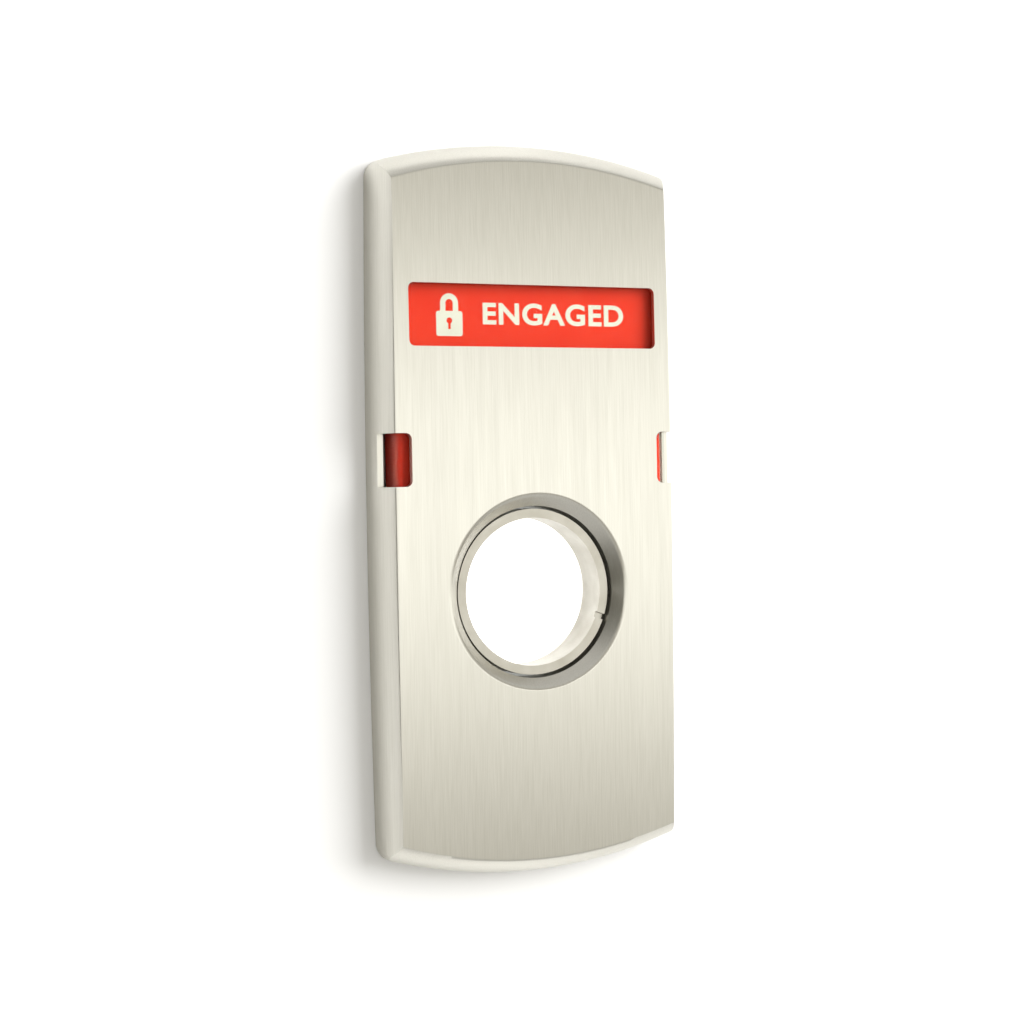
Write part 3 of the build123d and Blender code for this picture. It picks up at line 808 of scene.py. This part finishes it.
    def outline(self, side_inset: float, end_inset: float, height: float, corner: float) -> Shape:
        """Flat outline of the cover, facing the front, in edit mode.

        Args:
            side_inset: How far the long sides are moved inwards.
            end_inset: How far the top and the bottom are moved inwards.
            height: Distance forward of the door.
            corner: Radius of the corners.

        Returns:
            A single face with a curved outline.
        """
        insets = (side_inset, end_inset, side_inset, end_inset)
        arcs: list[Circle] = [(side.centre, side.radius - inset) for side, inset in zip(self.sides(), insets)]
        ends = ((1, self.bottom), (-1, self.bottom), (-1, self.top), (1, self.top))
        targets = [(x * self.half_width, z) for x, z in ends]
        corners = [
            meeting_point(arcs[index], arcs[(index + 1) % 4], target) for index, target in enumerate(targets)
        ]
        shape = self.new_point((corners[3][0], -height, corners[3][1]))
        for index, arc in enumerate(arcs):
            (cx, cz), begin, end = arc[0], corners[index - 1], corners[index]
            turn = math.atan2(end[1] - cz, end[0] - cx) - math.atan2(begin[1] - cz, begin[0] - cx)
            turn = (turn + math.pi) % (2 * math.pi) - math.pi
            bpy.ops.mesh.spin(steps=self.side_steps, angle=turn, center=(cx, -height, cz), axis=(0, 1, 0))
        Bench.select_all()
        bpy.ops.mesh.remove_doubles(threshold=self.same)
        bpy.ops.mesh.edge_face_add()

        def at_corner(point: bmesh.types.BMVert) -> bool:
            """True for a point where two sides meet."""
            return any(math.hypot(point.co.x - x, point.co.z - z) < self.same / 2 for x, z in corners)

        Bench.select(shape, Element.POINTS, at_corner)
        reach = corner / math.tan(math.radians(self.corner_half_angle))
        bpy.ops.mesh.bevel(offset=reach, segments=self.corner_steps, affect="VERTICES")
        Bench.face_front(shape)
        return shape

    def prism(self, side_inset: float, end_inset: float, back: float, front: float) -> Shape:
        """Straight bar with the outline of the cover.

        Args:
            side_inset: How far the long sides are moved inwards.
            end_inset: How far the top and the bottom are moved inwards.
            back: Where it starts, as a distance forward of the door.
            front: Where it ends, likewise.

        Returns:
            The bar.
        """
        shape = self.outline(side_inset, end_inset, back, self.corner - side_inset / 2)
        Bench.pull((0, back - front, 0))
        Bench.outward(shape)
        return shape

    def edge_cutter(self, side: Side, front: float) -> Shape:
        """Tool that rounds one edge: everything outside the arc, spun along the side.

        Args:
            side: The side whose edge is cut.
            front: How far forward of the door the arc reaches.

        Returns:
            The tool.
        """
        (cx, cz), spare = side.centre, self.edge_spare
        start_radius = side.radius + self.edge_clear
        rise = math.asin((front - self.edge_straight) / side.edge_round)
        shape = self.new_point((cx + start_radius, -self.edge_straight, cz))
        hub = (cx + start_radius - side.edge_round, -self.edge_straight, cz)
        bpy.ops.mesh.spin(steps=self.edge_steps, angle=rise, center=hub, axis=(0, 0, 1))
        Bench.pull((0, -spare, 0))
        Bench.pull((side.edge_round * (1 - math.cos(rise)) + 2 * spare, 0, 0))
        Bench.pull((0, front + spare - self.edge_straight, 0))
        Bench.select_all()
        bpy.ops.mesh.edge_face_add()
        over = self.edge_overrun * side.half_turn
        Bench.turn(side.facing + over, (cx, 0, cz))
        bpy.ops.mesh.spin(steps=2 * self.side_steps, angle=-2 * over, center=(cx, 0, cz), axis=(0, 1, 0))
        Bench.outward(shape)
        return shape

    def dome(self, inset: float, front: float) -> Shape:
        """Solid inside the outer surface, with mitred corners and rounded edges.

        Args:
            inset: How far the surface is moved inwards.
            front: Where it is cut flat.

        Returns:
            The solid.
        """
        shape = self.prism(inset, inset, 0.0, front)
        for side in self.sides():
            Bench.combine(shape, self.edge_cutter(side.moved_in(inset), front), Cut.TAKE_AWAY)
        return shape

    def bowed_block(self) -> Shape:
        """Block whose front is the bowed face, spun about a far axis.

        Returns:
            The block.
        """
        radius, centre = self.bow_radius, self.bow_centre
        half_turn = math.asin(self.block_past_ends * self.half_height / radius)
        half_width = self.block_past_sides * self.half_width
        start = centre + Vector((0, -radius * math.cos(half_turn), radius * math.sin(half_turn)))
        shape = self.new_point((-half_width, start.y, start.z))
        Bench.pull((2 * half_width, 0, 0))
        Bench.select_all()
        bpy.ops.mesh.spin(steps=self.bow_steps, angle=2 * half_turn, center=centre, axis=(-1, 0, 0))
        Bench.select_all()
        Bench.pull((0, self.block_depths * self.depth, 0))
        Bench.outward(shape)
        return shape

    def bore_cutter(self) -> Shape:
        """Tool for the bore: straight at the back and a 45 degree cone at the face.

        Returns:
            The tool.
        """
        cone = self.mouth - self.bore
        shape = Bench.rod(self.bore, self.boss_back - self.wall, self.depth - cone, (0, 0), self.bore_sides)
        Bench.edit(shape)
        Bench.select_end(shape, End.FRONT)
        reach = cone + self.wall
        Bench.pull((0, -reach, 0))
        Bench.widen((self.bore + reach) / self.bore, (0, -self.depth - self.wall, 0))
        Bench.outward(shape)
        return shape

    def build(self) -> None:
        """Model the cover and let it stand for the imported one."""
        shape = self.dome(0.0, self.depth)
        Bench.combine(shape, self.bowed_block(), Cut.KEEP_COMMON)
        Bench.combine(shape, self.prism(self.side_wall, self.end_wall, -PAST, self.ceiling), Cut.TAKE_AWAY)
        into_face = self.ceiling + self.lens / 2
        boss = Bench.rod(self.bore + self.boss_wall, self.boss_back, into_face, (0, 0), self.bore_sides)
        Bench.combine(shape, boss, Cut.JOIN)
        for place in SCREW_PLACES:
            Bench.combine(shape, Bench.block(self.screw_boss, self.base, into_face, place), Cut.JOIN)
        for place in SCREW_PLACES:
            hole = Bench.rod(self.screw_hole, self.base - PAST, self.screw_depth, place, self.screw_sides)
            Bench.combine(shape, hole, Cut.TAKE_AWAY)
        Bench.combine(shape, self.bore_cutter(), Cut.TAKE_AWAY)
        self.cut_front_window(shape)
        for sign in (-1, 1):
            self.cut_side_window(shape, sign)
        self.round_rim(shape)
        Bench.soften(shape, self.edge_softness)
        Bench.outward(shape, self.tidy_reach)
        Bench.shade(shape)
        self.true_normals(shape)
        Bench.piece(shape, "cover_shell", Body.HOUSING, "stainless_cover", STAINLESS, ("escutcheon_cover",))

    def cut_front_window(self, shape: Shape) -> None:
        """Cut the front window and the seat of its lens.

        Args:
            shape: The cover.
        """
        place = (0.0, self.window_centre)
        seat_size = (self.window[0] + 2 * self.ledge, self.window[1] + 2 * self.ledge)
        back = self.ceiling - PAST
        window = Bench.block(self.window, back, self.depth + PAST, place, self.window_corner)
        Bench.combine(shape, window, Cut.TAKE_AWAY)
        Bench.combine(shape, Bench.block(seat_size, back, self.ceiling + self.lens, place), Cut.TAKE_AWAY)

    def cut_side_window(self, shape: Shape, sign: int) -> None:
        """Cut one side window and the seat of its lens.

        Args:
            shape: The cover.
            sign: 1 for the right one, -1 for the left one.
        """
        size = (self.half_width, self.slot_height)
        place = (sign * (self.slot_inner + self.half_width / 2), self.slot_centre)
        opening = Bench.block(size, self.slot_back, self.depth + PAST, place, self.slot_corner)
        Bench.combine(shape, opening, Cut.TAKE_AWAY)
        bed = self.dome(self.wall, self.ceiling + self.lens)
        seat_size = (2 * self.half_width, self.slot_height + 2 * self.ledge)
        seat_place = (sign * (self.slot_inner - self.ledge + self.half_width), self.slot_centre)
        Bench.combine(bed, Bench.block(seat_size, self.lens_back, self.depth, seat_place), Cut.KEEP_COMMON)
        Bench.combine(shape, bed, Cut.TAKE_AWAY)

    def true_normals(self, shape: Shape) -> None:
        """Give the bowed face the normals of the true curve, so that its many flat strips don't show.

        Args:
            shape: The cover.
        """
        mesh = shape.data
        centre, radius = self.bow_centre, self.bow_radius
        turns = [Vector(corner.vector) for corner in mesh.corner_normals]
        for face in mesh.polygons:
            for index in face.loop_indices:
                out = mesh.vertices[mesh.loops[index].vertex_index].co - centre
                out.x = 0.0
                true = out.normalized()
                off = abs(out.length - radius)
                at_rounding = off < self.rounding_off and turns[index].dot(true) > self.rounding_cosine
                if at_rounding or (off < self.strip_off and face.normal.dot(true) > self.strip_cosine):
                    turns[index] = true
        mesh.normals_split_custom_set(turns)

    def round_rim(self, shape: Shape) -> None:
        """Round the edge where the bore meets the face.

        Args:
            shape: The cover.
        """

        def on_rim(edge: bmesh.types.BMEdge) -> bool:
            """True for an edge whose ends lie both on the cone and near the top of the face."""
            spots = [(math.hypot(v.co.x, v.co.z), -v.co.y) for v in edge.verts]
            return all(abs(r - h - cone) < self.rim_near and h > low for r, h in spots)

        cone, low = self.mouth - self.depth, self.depth - self.rim_band
        Bench.edit(shape)
        LOG.info("bore rim: %d edges", Bench.select(shape, Element.EDGES, on_rim))
        bpy.ops.mesh.bevel(
            offset=self.rim_rounding, segments=self.rim_steps, affect="EDGES", clamp_overlap=False
        )
        Bench.leave()


@dataclass(frozen=True)
class State:
    """One state that the indicator shows.

    The lift is how far its card is above the window at rest, and open_by is how far the shackle of its
    padlock is moved to the side.
    """

    name: str
    slot: str
    lift: float
    open_by: float


@dataclass
class Legends:
    """Printed states on the cards: a word and a padlock for each.

    The ink gap is the share of the ink's thickness that is left free between the ink and the card.
    """

    card_front: float = 8.1 * MM
    ink: float = 0.03 * MM
    ink_gap: float = 0.1
    letter_weight: float = 0.03
    letter_spacing: float = 1.08
    letter_steps: int = 6
    cap_height: float = 4.45 * MM
    word_left: float = -10.5 * MM
    word_right: float = 21.3 * MM
    word_base: float = 53.85 * MM
    lock_centre: float = -17.8 * MM
    lock_size: Size = (5.7 * MM, 5.0 * MM)
    lock_bottom: float = 51.45 * MM
    lock_corner: float = 0.5 * MM
    key_hole: float = 0.62 * MM
    key_above: float = 0.6 * MM
    key_slot: Size = (0.55 * MM, 1.7 * MM)
    key_sides: int = 32
    shackle: float = 1.95 * MM
    shackle_bar: float = 1.15 * MM
    shackle_top: float = 59.95 * MM
    shackle_overlap: float = 0.2 * MM
    shackle_sides: int = 64
    shackle_hole_sides: int = 48
    travel: float = 14.521 * MM

    def word(self, state: State) -> None:
        """Print the word of a state on its card.

        Args:
            state: The state.
        """
        Bench.clear()
        bpy.ops.object.text_add(location=(0, 0, 0))
        shape = bpy.context.object
        shape.data.body = state.name.upper()
        shape.data.size = 1.0
        shape.data.offset = self.letter_weight
        shape.data.space_character = self.letter_spacing
        shape.data.resolution_u = self.letter_steps
        bpy.ops.object.convert(target="MESH")
        points = [vert.co for vert in shape.data.vertices]
        left, right = min(p.x for p in points), max(p.x for p in points)
        low, high = min(p.y for p in points), max(p.y for p in points)
        wide = (self.word_right - self.word_left) / (right - left)
        tall = self.cap_height / (high - low)
        across = (wide, 0, 0, self.word_left - wide * left)
        deep = (0, 0, 1, -self.card_front - self.ink)
        upright = (0, tall, 0, self.word_base + state.lift - tall * low)
        shape.data.transform(Matrix((across, deep, upright, (0, 0, 0, 1))))
        self.thicken(shape)
        Bench.piece(shape, f"{state.name}_word", Body.INDICATOR, state.slot, WHITE_INK)

    def thicken(self, shape: Shape, same: float = 0.001 * MM) -> None:
        """Give flat ink its thickness, nearly down to the card.

        Args:
            shape: The flat letters.
            same: Points that are closer than this are one point.
        """
        Bench.edit(shape)
        Bench.select_all()
        bpy.ops.mesh.remove_doubles(threshold=same)
        Bench.pull((0, (1 - self.ink_gap) * self.ink, 0))
        Bench.outward(shape)
        Bench.shade(shape)

    def padlock(self, state: State) -> None:
        """Print a plain padlock: a rounded body, a shackle and a key slot.

        Args:
            state: The state whose card it is on.
        """
        back, front = self.card_front + self.ink_gap * self.ink, self.card_front + self.ink
        behind, before = back - PAST, front + PAST
        middle = self.lock_bottom + self.lock_size[1] / 2 + state.lift
        body = Bench.block(self.lock_size, back, front, (self.lock_centre, middle), self.lock_corner)
        key_top = middle + self.key_above
        key = Bench.rod(self.key_hole, behind, before, (self.lock_centre, key_top), self.key_sides)
        Bench.combine(body, key, Cut.TAKE_AWAY)
        slot_place = (self.lock_centre, key_top - self.key_slot[1] / 2)
        Bench.combine(body, Bench.block(self.key_slot, behind, before, slot_place), Cut.TAKE_AWAY)
        arch_z = self.shackle_top - self.shackle + state.lift
        foot = middle + self.lock_size[1] / 2 - self.shackle_overlap
        x, leg_z, leg = self.lock_centre + state.open_by, (arch_z + foot) / 2, arch_z - foot
        arch = Bench.rod(self.shackle, back, front, (x, arch_z), self.shackle_sides)
        Bench.combine(arch, Bench.block((2 * self.shackle, leg), back, front, (x, leg_z)), Cut.JOIN)
        hole = self.shackle - self.shackle_bar
        inside = Bench.rod(hole, behind, before, (x, arch_z), self.shackle_hole_sides)
        Bench.combine(arch, inside, Cut.TAKE_AWAY)
        between = Bench.block((2 * hole, leg + PAST), behind, before, (x, leg_z - PAST / 2))
        Bench.combine(arch, between, Cut.TAKE_AWAY)
        Bench.combine(body, arch, Cut.JOIN)
        Bench.outward(body)
        Bench.piece(body, f"{state.name}_padlock", Body.INDICATOR, state.slot, WHITE_INK)

    def build(self) -> None:
        """Print both cards."""
        swing = self.shackle_bar - 2 * self.shackle
        engaged = State("engaged", "red_card", 0.0, 0.0)
        vacant = State("vacant", "green_card", self.travel, swing)
        for state in (engaged, vacant):
            self.word(state)
            self.padlock(state)


@dataclass
class BaseFasteners:
    """Countersunk cross-recess screws, seen from behind."""

    head: float = 2.4 * MM
    shank: float = 1.25 * MM
    sunk: float = 0.1 * MM
    length: float = 6.0 * MM
    tip: float = 0.4 * MM
    sides: int = 32
    recess: float = 1.35 * MM
    recess_width: float = 0.42 * MM
    recess_depth: float = 0.85 * MM
    recess_taper: Size = (0.5, 0.8)
    edge: float = 0.05 * MM
    edge_angle: float = 30.0

    def screw(self) -> Shape:
        """Model one screw on the origin's axis.

        Returns:
            The screw.
        """
        cone = self.head - self.shank
        shape = Bench.rod(self.shank, self.sunk + cone, self.length, (0, 0), self.sides)
        Bench.edit(shape)
        Bench.select_end(shape, End.BACK)
        Bench.pull((0, cone, 0))
        Bench.widen(self.head / self.shank, (0, -self.sunk, 0))
        Bench.select_end(shape, End.FRONT)
        bpy.ops.mesh.inset(thickness=self.tip, depth=self.tip)
        Bench.outward(shape)
        long_taper, short_taper = self.recess_taper
        for size, taper in (
            ((self.recess_width, 2 * self.recess), (short_taper, 1, long_taper)),
            ((2 * self.recess, self.recess_width), (long_taper, 1, short_taper)),
        ):
            bar = Bench.block(size, -PAST, self.sunk + self.recess_depth, (0, 0))
            Bench.edit(bar)
            Bench.select_end(bar, End.FRONT)
            bpy.ops.transform.resize(value=taper)
            Bench.outward(bar)
            Bench.combine(shape, bar, Cut.TAKE_AWAY)
        Bench.soften(shape, self.edge, self.edge_angle)
        return shape

    def build(self) -> None:
        """Model one screw, copy it to its places and join the copies."""
        first = self.screw()
        copies = []
        for x, z in SCREW_PLACES:
            copy = first.copy()
            copy.data = first.data.copy()
            copy.data.transform(Matrix.Translation((x, 0, z)))
            bpy.context.collection.objects.link(copy)
            copies.append(copy)
        bpy.data.objects.remove(first, do_unlink=True)
        screws = copies[0]
        Bench.pick(screws)
        for copy in copies[1:]:
            copy.select_set(True)
        bpy.ops.object.join()
        Bench.shade(screws)
        Bench.piece(screws, "cross_screws", Body.HOUSING, "zinc_plated_steel", PLATED_STEEL, ("base_screws",))


@dataclass
class MountingPosts:
    """Hexagonal posts with a chamfered front and a tapped hole."""

    flats: float = 7.0 * MM
    sides: int = 6
    side_turn: float = 30.0
    front: float = 6.3 * MM
    hole: float = 1.65 * MM
    hole_sides: int = 40
    thread: float = 2.0 * MM
    pitch: float = 0.7 * MM
    depth: float = 5.2 * MM
    edge: float = 0.12 * MM
    edge_angle: float = 40.0
    places: tuple[tuple[str, float], ...] = (
        ("mounting_post_upper", 64.0 * MM),
        ("mounting_post_lower", -36.0 * MM),
    )

    def thread_cutter(self, centre: float, near: float = 0.02 * MM) -> Shape:
        """Tool for the tapped hole: a bar with a ridge for every turn of the thread.

        Args:
            centre: Height of the post's axis.
            near: How close to the height of a ridge its points lie.

        Returns:
            The tool.
        """
        shape = Bench.rod(self.hole, -PAST, self.depth, (0, centre), self.hole_sides)
        Bench.edit(shape)
        turns = range(int(self.depth / self.pitch))
        for turn in turns:
            for height in (turn * self.pitch, (turn + 0.5) * self.pitch):
                Bench.select_all()
                bpy.ops.mesh.bisect(plane_co=(0, -height, centre), plane_no=(0, 1, 0))

        def on_ridge(point: bmesh.types.BMVert) -> bool:
            """True for a point on the crest of a turn."""
            return any(abs(point.co.y + (turn + 0.5) * self.pitch) < near for turn in turns)

        Bench.select(shape, Element.POINTS, on_ridge)
        Bench.widen(self.thread / self.hole, (0, 0, centre))
        Bench.outward(shape)
        return shape

    def build(self) -> None:
        """Model both posts."""
        corner = self.flats / math.sqrt(3)
        for name, centre in self.places:
            shape = Bench.rod(corner, 0.0, self.front, (0, centre), self.sides)
            Bench.edit(shape)
            Bench.select_all()
            Bench.turn(math.radians(self.side_turn), (0, 0, centre))
            Bench.outward(shape)
            Bench.soften(shape, self.edge, self.edge_angle)
            Bench.combine(shape, self.thread_cutter(centre), Cut.TAKE_AWAY)
            Bench.shade(shape)
            Bench.piece(shape, f"tapped_{name}", Body.HOUSING, "turned_steel", TURNED_STEEL, (name,))


@dataclass(frozen=True)
class HeadedPin:
    """Sizes of a pin with a domed head, which starts at the face of the door."""

    node: str
    name: str
    shank: float
    under_head: float
    head: float
    rise: float


@dataclass
class Rivets:
    """Headed pin of the idler and the rivet of the drag spring, with domed heads."""

    pins: tuple[HeadedPin, ...] = (
        HeadedPin("idler_pin", "headed_idler_pin", 1.5 * MM, 6.35 * MM, 2.38 * MM, 0.4 * MM),
        HeadedPin("spring_rivet", "domed_spring_rivet", 0.9 * MM, 1.9 * MM, 1.58 * MM, 0.5 * MM),
    )
    sides: int = 40
    dome_steps: int = 4
    collar: float = 0.0005 * MM
    edge: float = 0.05 * MM
    edge_angle: float = 50.0
    smooth_angle: float = 40.0

    def domed(self, pin: HeadedPin, place: Place) -> Shape:
        """Model one headed pin.

        Args:
            pin: Its sizes.
            place: X and Z of its axis.

        Returns:
            The pin.
        """
        shape = Bench.rod(pin.shank, 0.0, pin.under_head, place, self.sides)
        Bench.edit(shape)
        Bench.select_end(shape, End.FRONT)
        bpy.ops.mesh.inset(thickness=self.collar, depth=0.0, use_outset=False)
        Bench.widen(pin.head / pin.shank, (place[0], -pin.under_head, place[1]))
        for step in range(self.dome_steps):
            low, high = (turn * math.pi / 2 / self.dome_steps for turn in (step, step + 1))
            bpy.ops.mesh.inset(
                thickness=0.5 * pin.head * (math.cos(low) - math.cos(high)),
                depth=pin.rise * (math.sin(high) - math.sin(low)),
                use_even_offset=True,
            )
        Bench.outward(shape)
        Bench.soften(shape, self.edge, self.edge_angle)
        Bench.shade(shape, self.smooth_angle)
        return shape

    def build(self) -> None:
        """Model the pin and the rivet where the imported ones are."""
        for pin in self.pins:
            low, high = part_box(pin.node)
            shape = self.domed(pin, ((low.x + high.x) / 2, (low.z + high.z) / 2))
            Bench.piece(shape, pin.name, Body.HOUSING, "brass_pin", BRASS, (pin.node,))


class PackedSolids:
    """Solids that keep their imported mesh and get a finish."""

    NODES_OF = {
        CLEAR: ("window_lens", "side_lens_left", "side_lens_right"),
        PLATED_STEEL: ("base_plate", "drive_ring"),
        TURNED_STEEL: ("bore_sleeve",),
        WHITE_ACETAL: ("idler_gear", "indicator_slider"),
        RED_CARD: ("engaged_card", "engaged_flag_left", "engaged_flag_right"),
        GREEN_CARD: ("vacant_card", "vacant_flag_left", "vacant_flag_right"),
        BLACK_ACETAL: ("guide_rail_left", "guide_rail_right"),
        SPRING_STEEL: ("drag_spring",),
    }

    def build(self) -> None:
        """Give every shown solid its finish."""
        for finish, names in self.NODES_OF.items():
            for name in names:
                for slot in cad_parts[name].material_slots:
                    slot.material = material_of(finish)
                LOG.info("%s: packed solid, %s", name, finish.name)


@dataclass
class Studio:
    """White wall behind the indicator, soft light from the front right, and the camera."""

    wall_paint: str = "f8f8f8"
    wall_gap: float = 0.1 * MM
    wall_growth: float = 40.0
    opening_inset: float = 0.4 * MM
    disc: float = 17 * MM
    disc_sides: int = 64
    camera_place: Point = (-0.18835, -0.400136, 0.02079)
    camera_right: Point = (0.905421, -0.424144, -0.017731)
    camera_up: Point = (0.02052, 0.002011, 0.999787)
    camera_look: Point = (0.424018, 0.905593, -0.010524)
    clip_start: float = 0.01
    focal_pixels: float = 2149.8
    frame_pixels: float = 1024.0
    sensor: float = 36.0
    strip_start: float = 0.07
    strip_end: float = 0.20
    sky_start: float = 0.30
    sky_end: float = 0.55
    panel_start: float = -0.48
    panel_end: float = -0.74
    strip_tone: Colour = (1.70, 1.69, 1.60, 1.0)
    gap_tone: Colour = (0.40, 0.375, 0.32, 1.0)
    sky_tone: Colour = (0.62, 0.61, 0.585, 1.0)
    panel_tone: Colour = (0.12, 0.115, 0.095, 1.0)
    lamp_place: Point = (0.62, -0.66, 0.40)
    lamp_aim: Point = (0.0, 0.0, 0.016)
    lamp_size: float = 0.75
    lamp_power: float = 11.4
    wall_lift: float = 0.05
    bore_lift: float = 0.8

    def stepped(self, tree: Tree, source: Socket, start: float, end: float) -> Socket:
        """Soft step from 0 at start to 1 at end.

        Args:
            tree: Node tree that it goes into.
            source: What the step is in.
            start: Where the step starts.
            end: Where it ends, which may be below the start.

        Returns:
            The socket with the step.
        """
        low, high = (0.0, 1.0) if start < end else (1.0, 0.0)
        span = {"From Min": min(start, end), "From Max": max(start, end), "To Min": low, "To Max": high}
        step = add_node(tree, "MapRange", {"Value": source, **span}, interpolation_type="SMOOTHSTEP")
        return step["Result"]

    def world(self) -> None:
        """Surroundings: a bright level strip with dim gaps around it, and a dark panel at the left."""
        world = bpy.data.worlds.new("pale_studio")
        bpy.context.scene.world = world
        world.use_nodes = True
        tree = world.node_tree
        tree.nodes.clear()
        way = add_node(tree, "SeparateXYZ", {"Vector": add_node(tree, "TexCoord")["Generated"]})
        slant = add_node(tree, "Math", {0: way["Z"]}, operation="ABSOLUTE")["Value"]
        strip = self.stepped(tree, slant, self.strip_end, self.strip_start)
        sky = self.stepped(tree, slant, self.sky_start, self.sky_end)
        left = self.stepped(tree, way["X"], self.panel_start, self.panel_end)
        tone = blended(tree, strip, self.gap_tone, self.strip_tone)
        tone = blended(tree, sky, tone, self.sky_tone)
        tone = blended(tree, left, tone, self.panel_tone)
        plain = add_node(tree, "Background", {"Color": tone})["Background"]
        white = add_node(tree, "Background", {"Color": WHITE})["Background"]
        seen = on_paths(tree, "Is Camera Ray", "Is Transmission Ray")
        add_node(tree, "OutputWorld", {"Surface": mixed(tree, seen, plain, white)})

    def wall_material(self, name: str, lift: float, onlooker: str) -> Material:
        """White paint that shows as white, and is clear when seen from behind.

        Args:
            name: Name of the material.
            lift: Strength of the white that is added where the camera or the other onlooker looks at it.
            onlooker: Name of a second light path that sees the added white.

        Returns:
            The material.
        """
        material, tree = new_material(name)
        paint = add_node(tree, "BsdfDiffuse", {"Color": linear(self.wall_paint)})["BSDF"]
        seen = on_paths(tree, "Is Camera Ray", onlooker)
        share = add_node(tree, "Math", {0: seen, 1: lift}, operation="MULTIPLY")["Value"]
        glow = add_node(tree, "Emission", {"Color": WHITE, "Strength": share})["Emission"]
        both = add_node(tree, "AddShader", {0: paint, 1: glow})["Shader"]
        clear = add_node(tree, "BsdfTransparent")["BSDF"]
        behind = add_node(tree, "NewGeometry")["Backfacing"]
        add_node(tree, "OutputMaterial", {0: mixed(tree, behind, both, clear)})
        return material

    def wall(self) -> None:
        """Wall with an opening just inside the outline of the cover, and a disc of it behind the bore."""
        cover = Cover()
        sheet = cover.outline(self.opening_inset, self.opening_inset, -self.wall_gap, cover.corner)
        Bench.select_all()
        bpy.ops.mesh.delete(type="ONLY_FACE")
        Bench.select_all()
        bpy.ops.mesh.extrude_edges_move()
        Bench.widen(self.wall_growth, (0, self.wall_gap, 0))
        Bench.face_front(sheet)
        Bench.clear()
        bpy.ops.mesh.primitive_circle_add(
            vertices=self.disc_sides,
            radius=self.disc,
            fill_type="NGON",
            location=(0, self.wall_gap, 0),
            rotation=(math.pi / 2, 0, 0),
        )
        for shape, name, lift, onlooker in (
            (sheet, "wall", self.wall_lift, "Is Transmission Ray"),
            (Bench.settle(), "wall_in_bore", self.bore_lift, "Is Glossy Ray"),
        ):
            shape.name = name
            shape.data.materials.append(self.wall_material(name, lift, onlooker))
            LOG.info("%s: stage", name)

    def lamp(self) -> None:
        """Add a soft lamp at the right, which points at the middle of the cover."""
        data = bpy.data.lights.new("right_softbox", "AREA")
        data.shape = "SQUARE"
        data.size = self.lamp_size
        data.energy = self.lamp_power
        lamp = bpy.data.objects.new("right_softbox", data)
        bpy.context.collection.objects.link(lamp)
        lamp.visible_glossy = False
        lamp.location = self.lamp_place
        aim = Vector(self.lamp_aim) - Vector(self.lamp_place)
        lamp.rotation_euler = aim.to_track_quat("-Z", "Y").to_euler()

    def camera(self) -> None:
        """Stand the camera where the photograph was taken from."""
        data = bpy.data.cameras.new("camera")
        data.sensor_width = self.sensor
        data.lens = self.sensor * self.focal_pixels / self.frame_pixels
        data.clip_start = self.clip_start
        camera = bpy.data.objects.new("camera", data)
        bpy.context.collection.objects.link(camera)
        ways = (self.camera_right, self.camera_up, self.camera_look)
        right, up, look = (Vector(way).normalized() for way in ways)
        turn = Matrix((right, up, -look)).transposed().to_4x4()
        camera.matrix_world = Matrix.Translation(self.camera_place) @ turn
        bpy.context.scene.camera = camera

    def build(self) -> None:
        """Set up the world, the wall, the lamp and the camera."""
        bpy.context.scene.view_settings.view_transform = "Standard"
        self.world()
        self.wall()
        self.lamp()
        self.camera()


def main() -> None:
    """Build the sub-assemblies in order, then the studio."""
    logging.basicConfig(level=logging.INFO, format="%(name)s %(message)s")
    for part in (PackedSolids(), Cover(), Legends(), BaseFasteners(), MountingPosts(), Rivets(), Studio()):
        LOG.info("building %s", type(part).__name__)
        part.build()


if __name__ == "__main__":
    main()
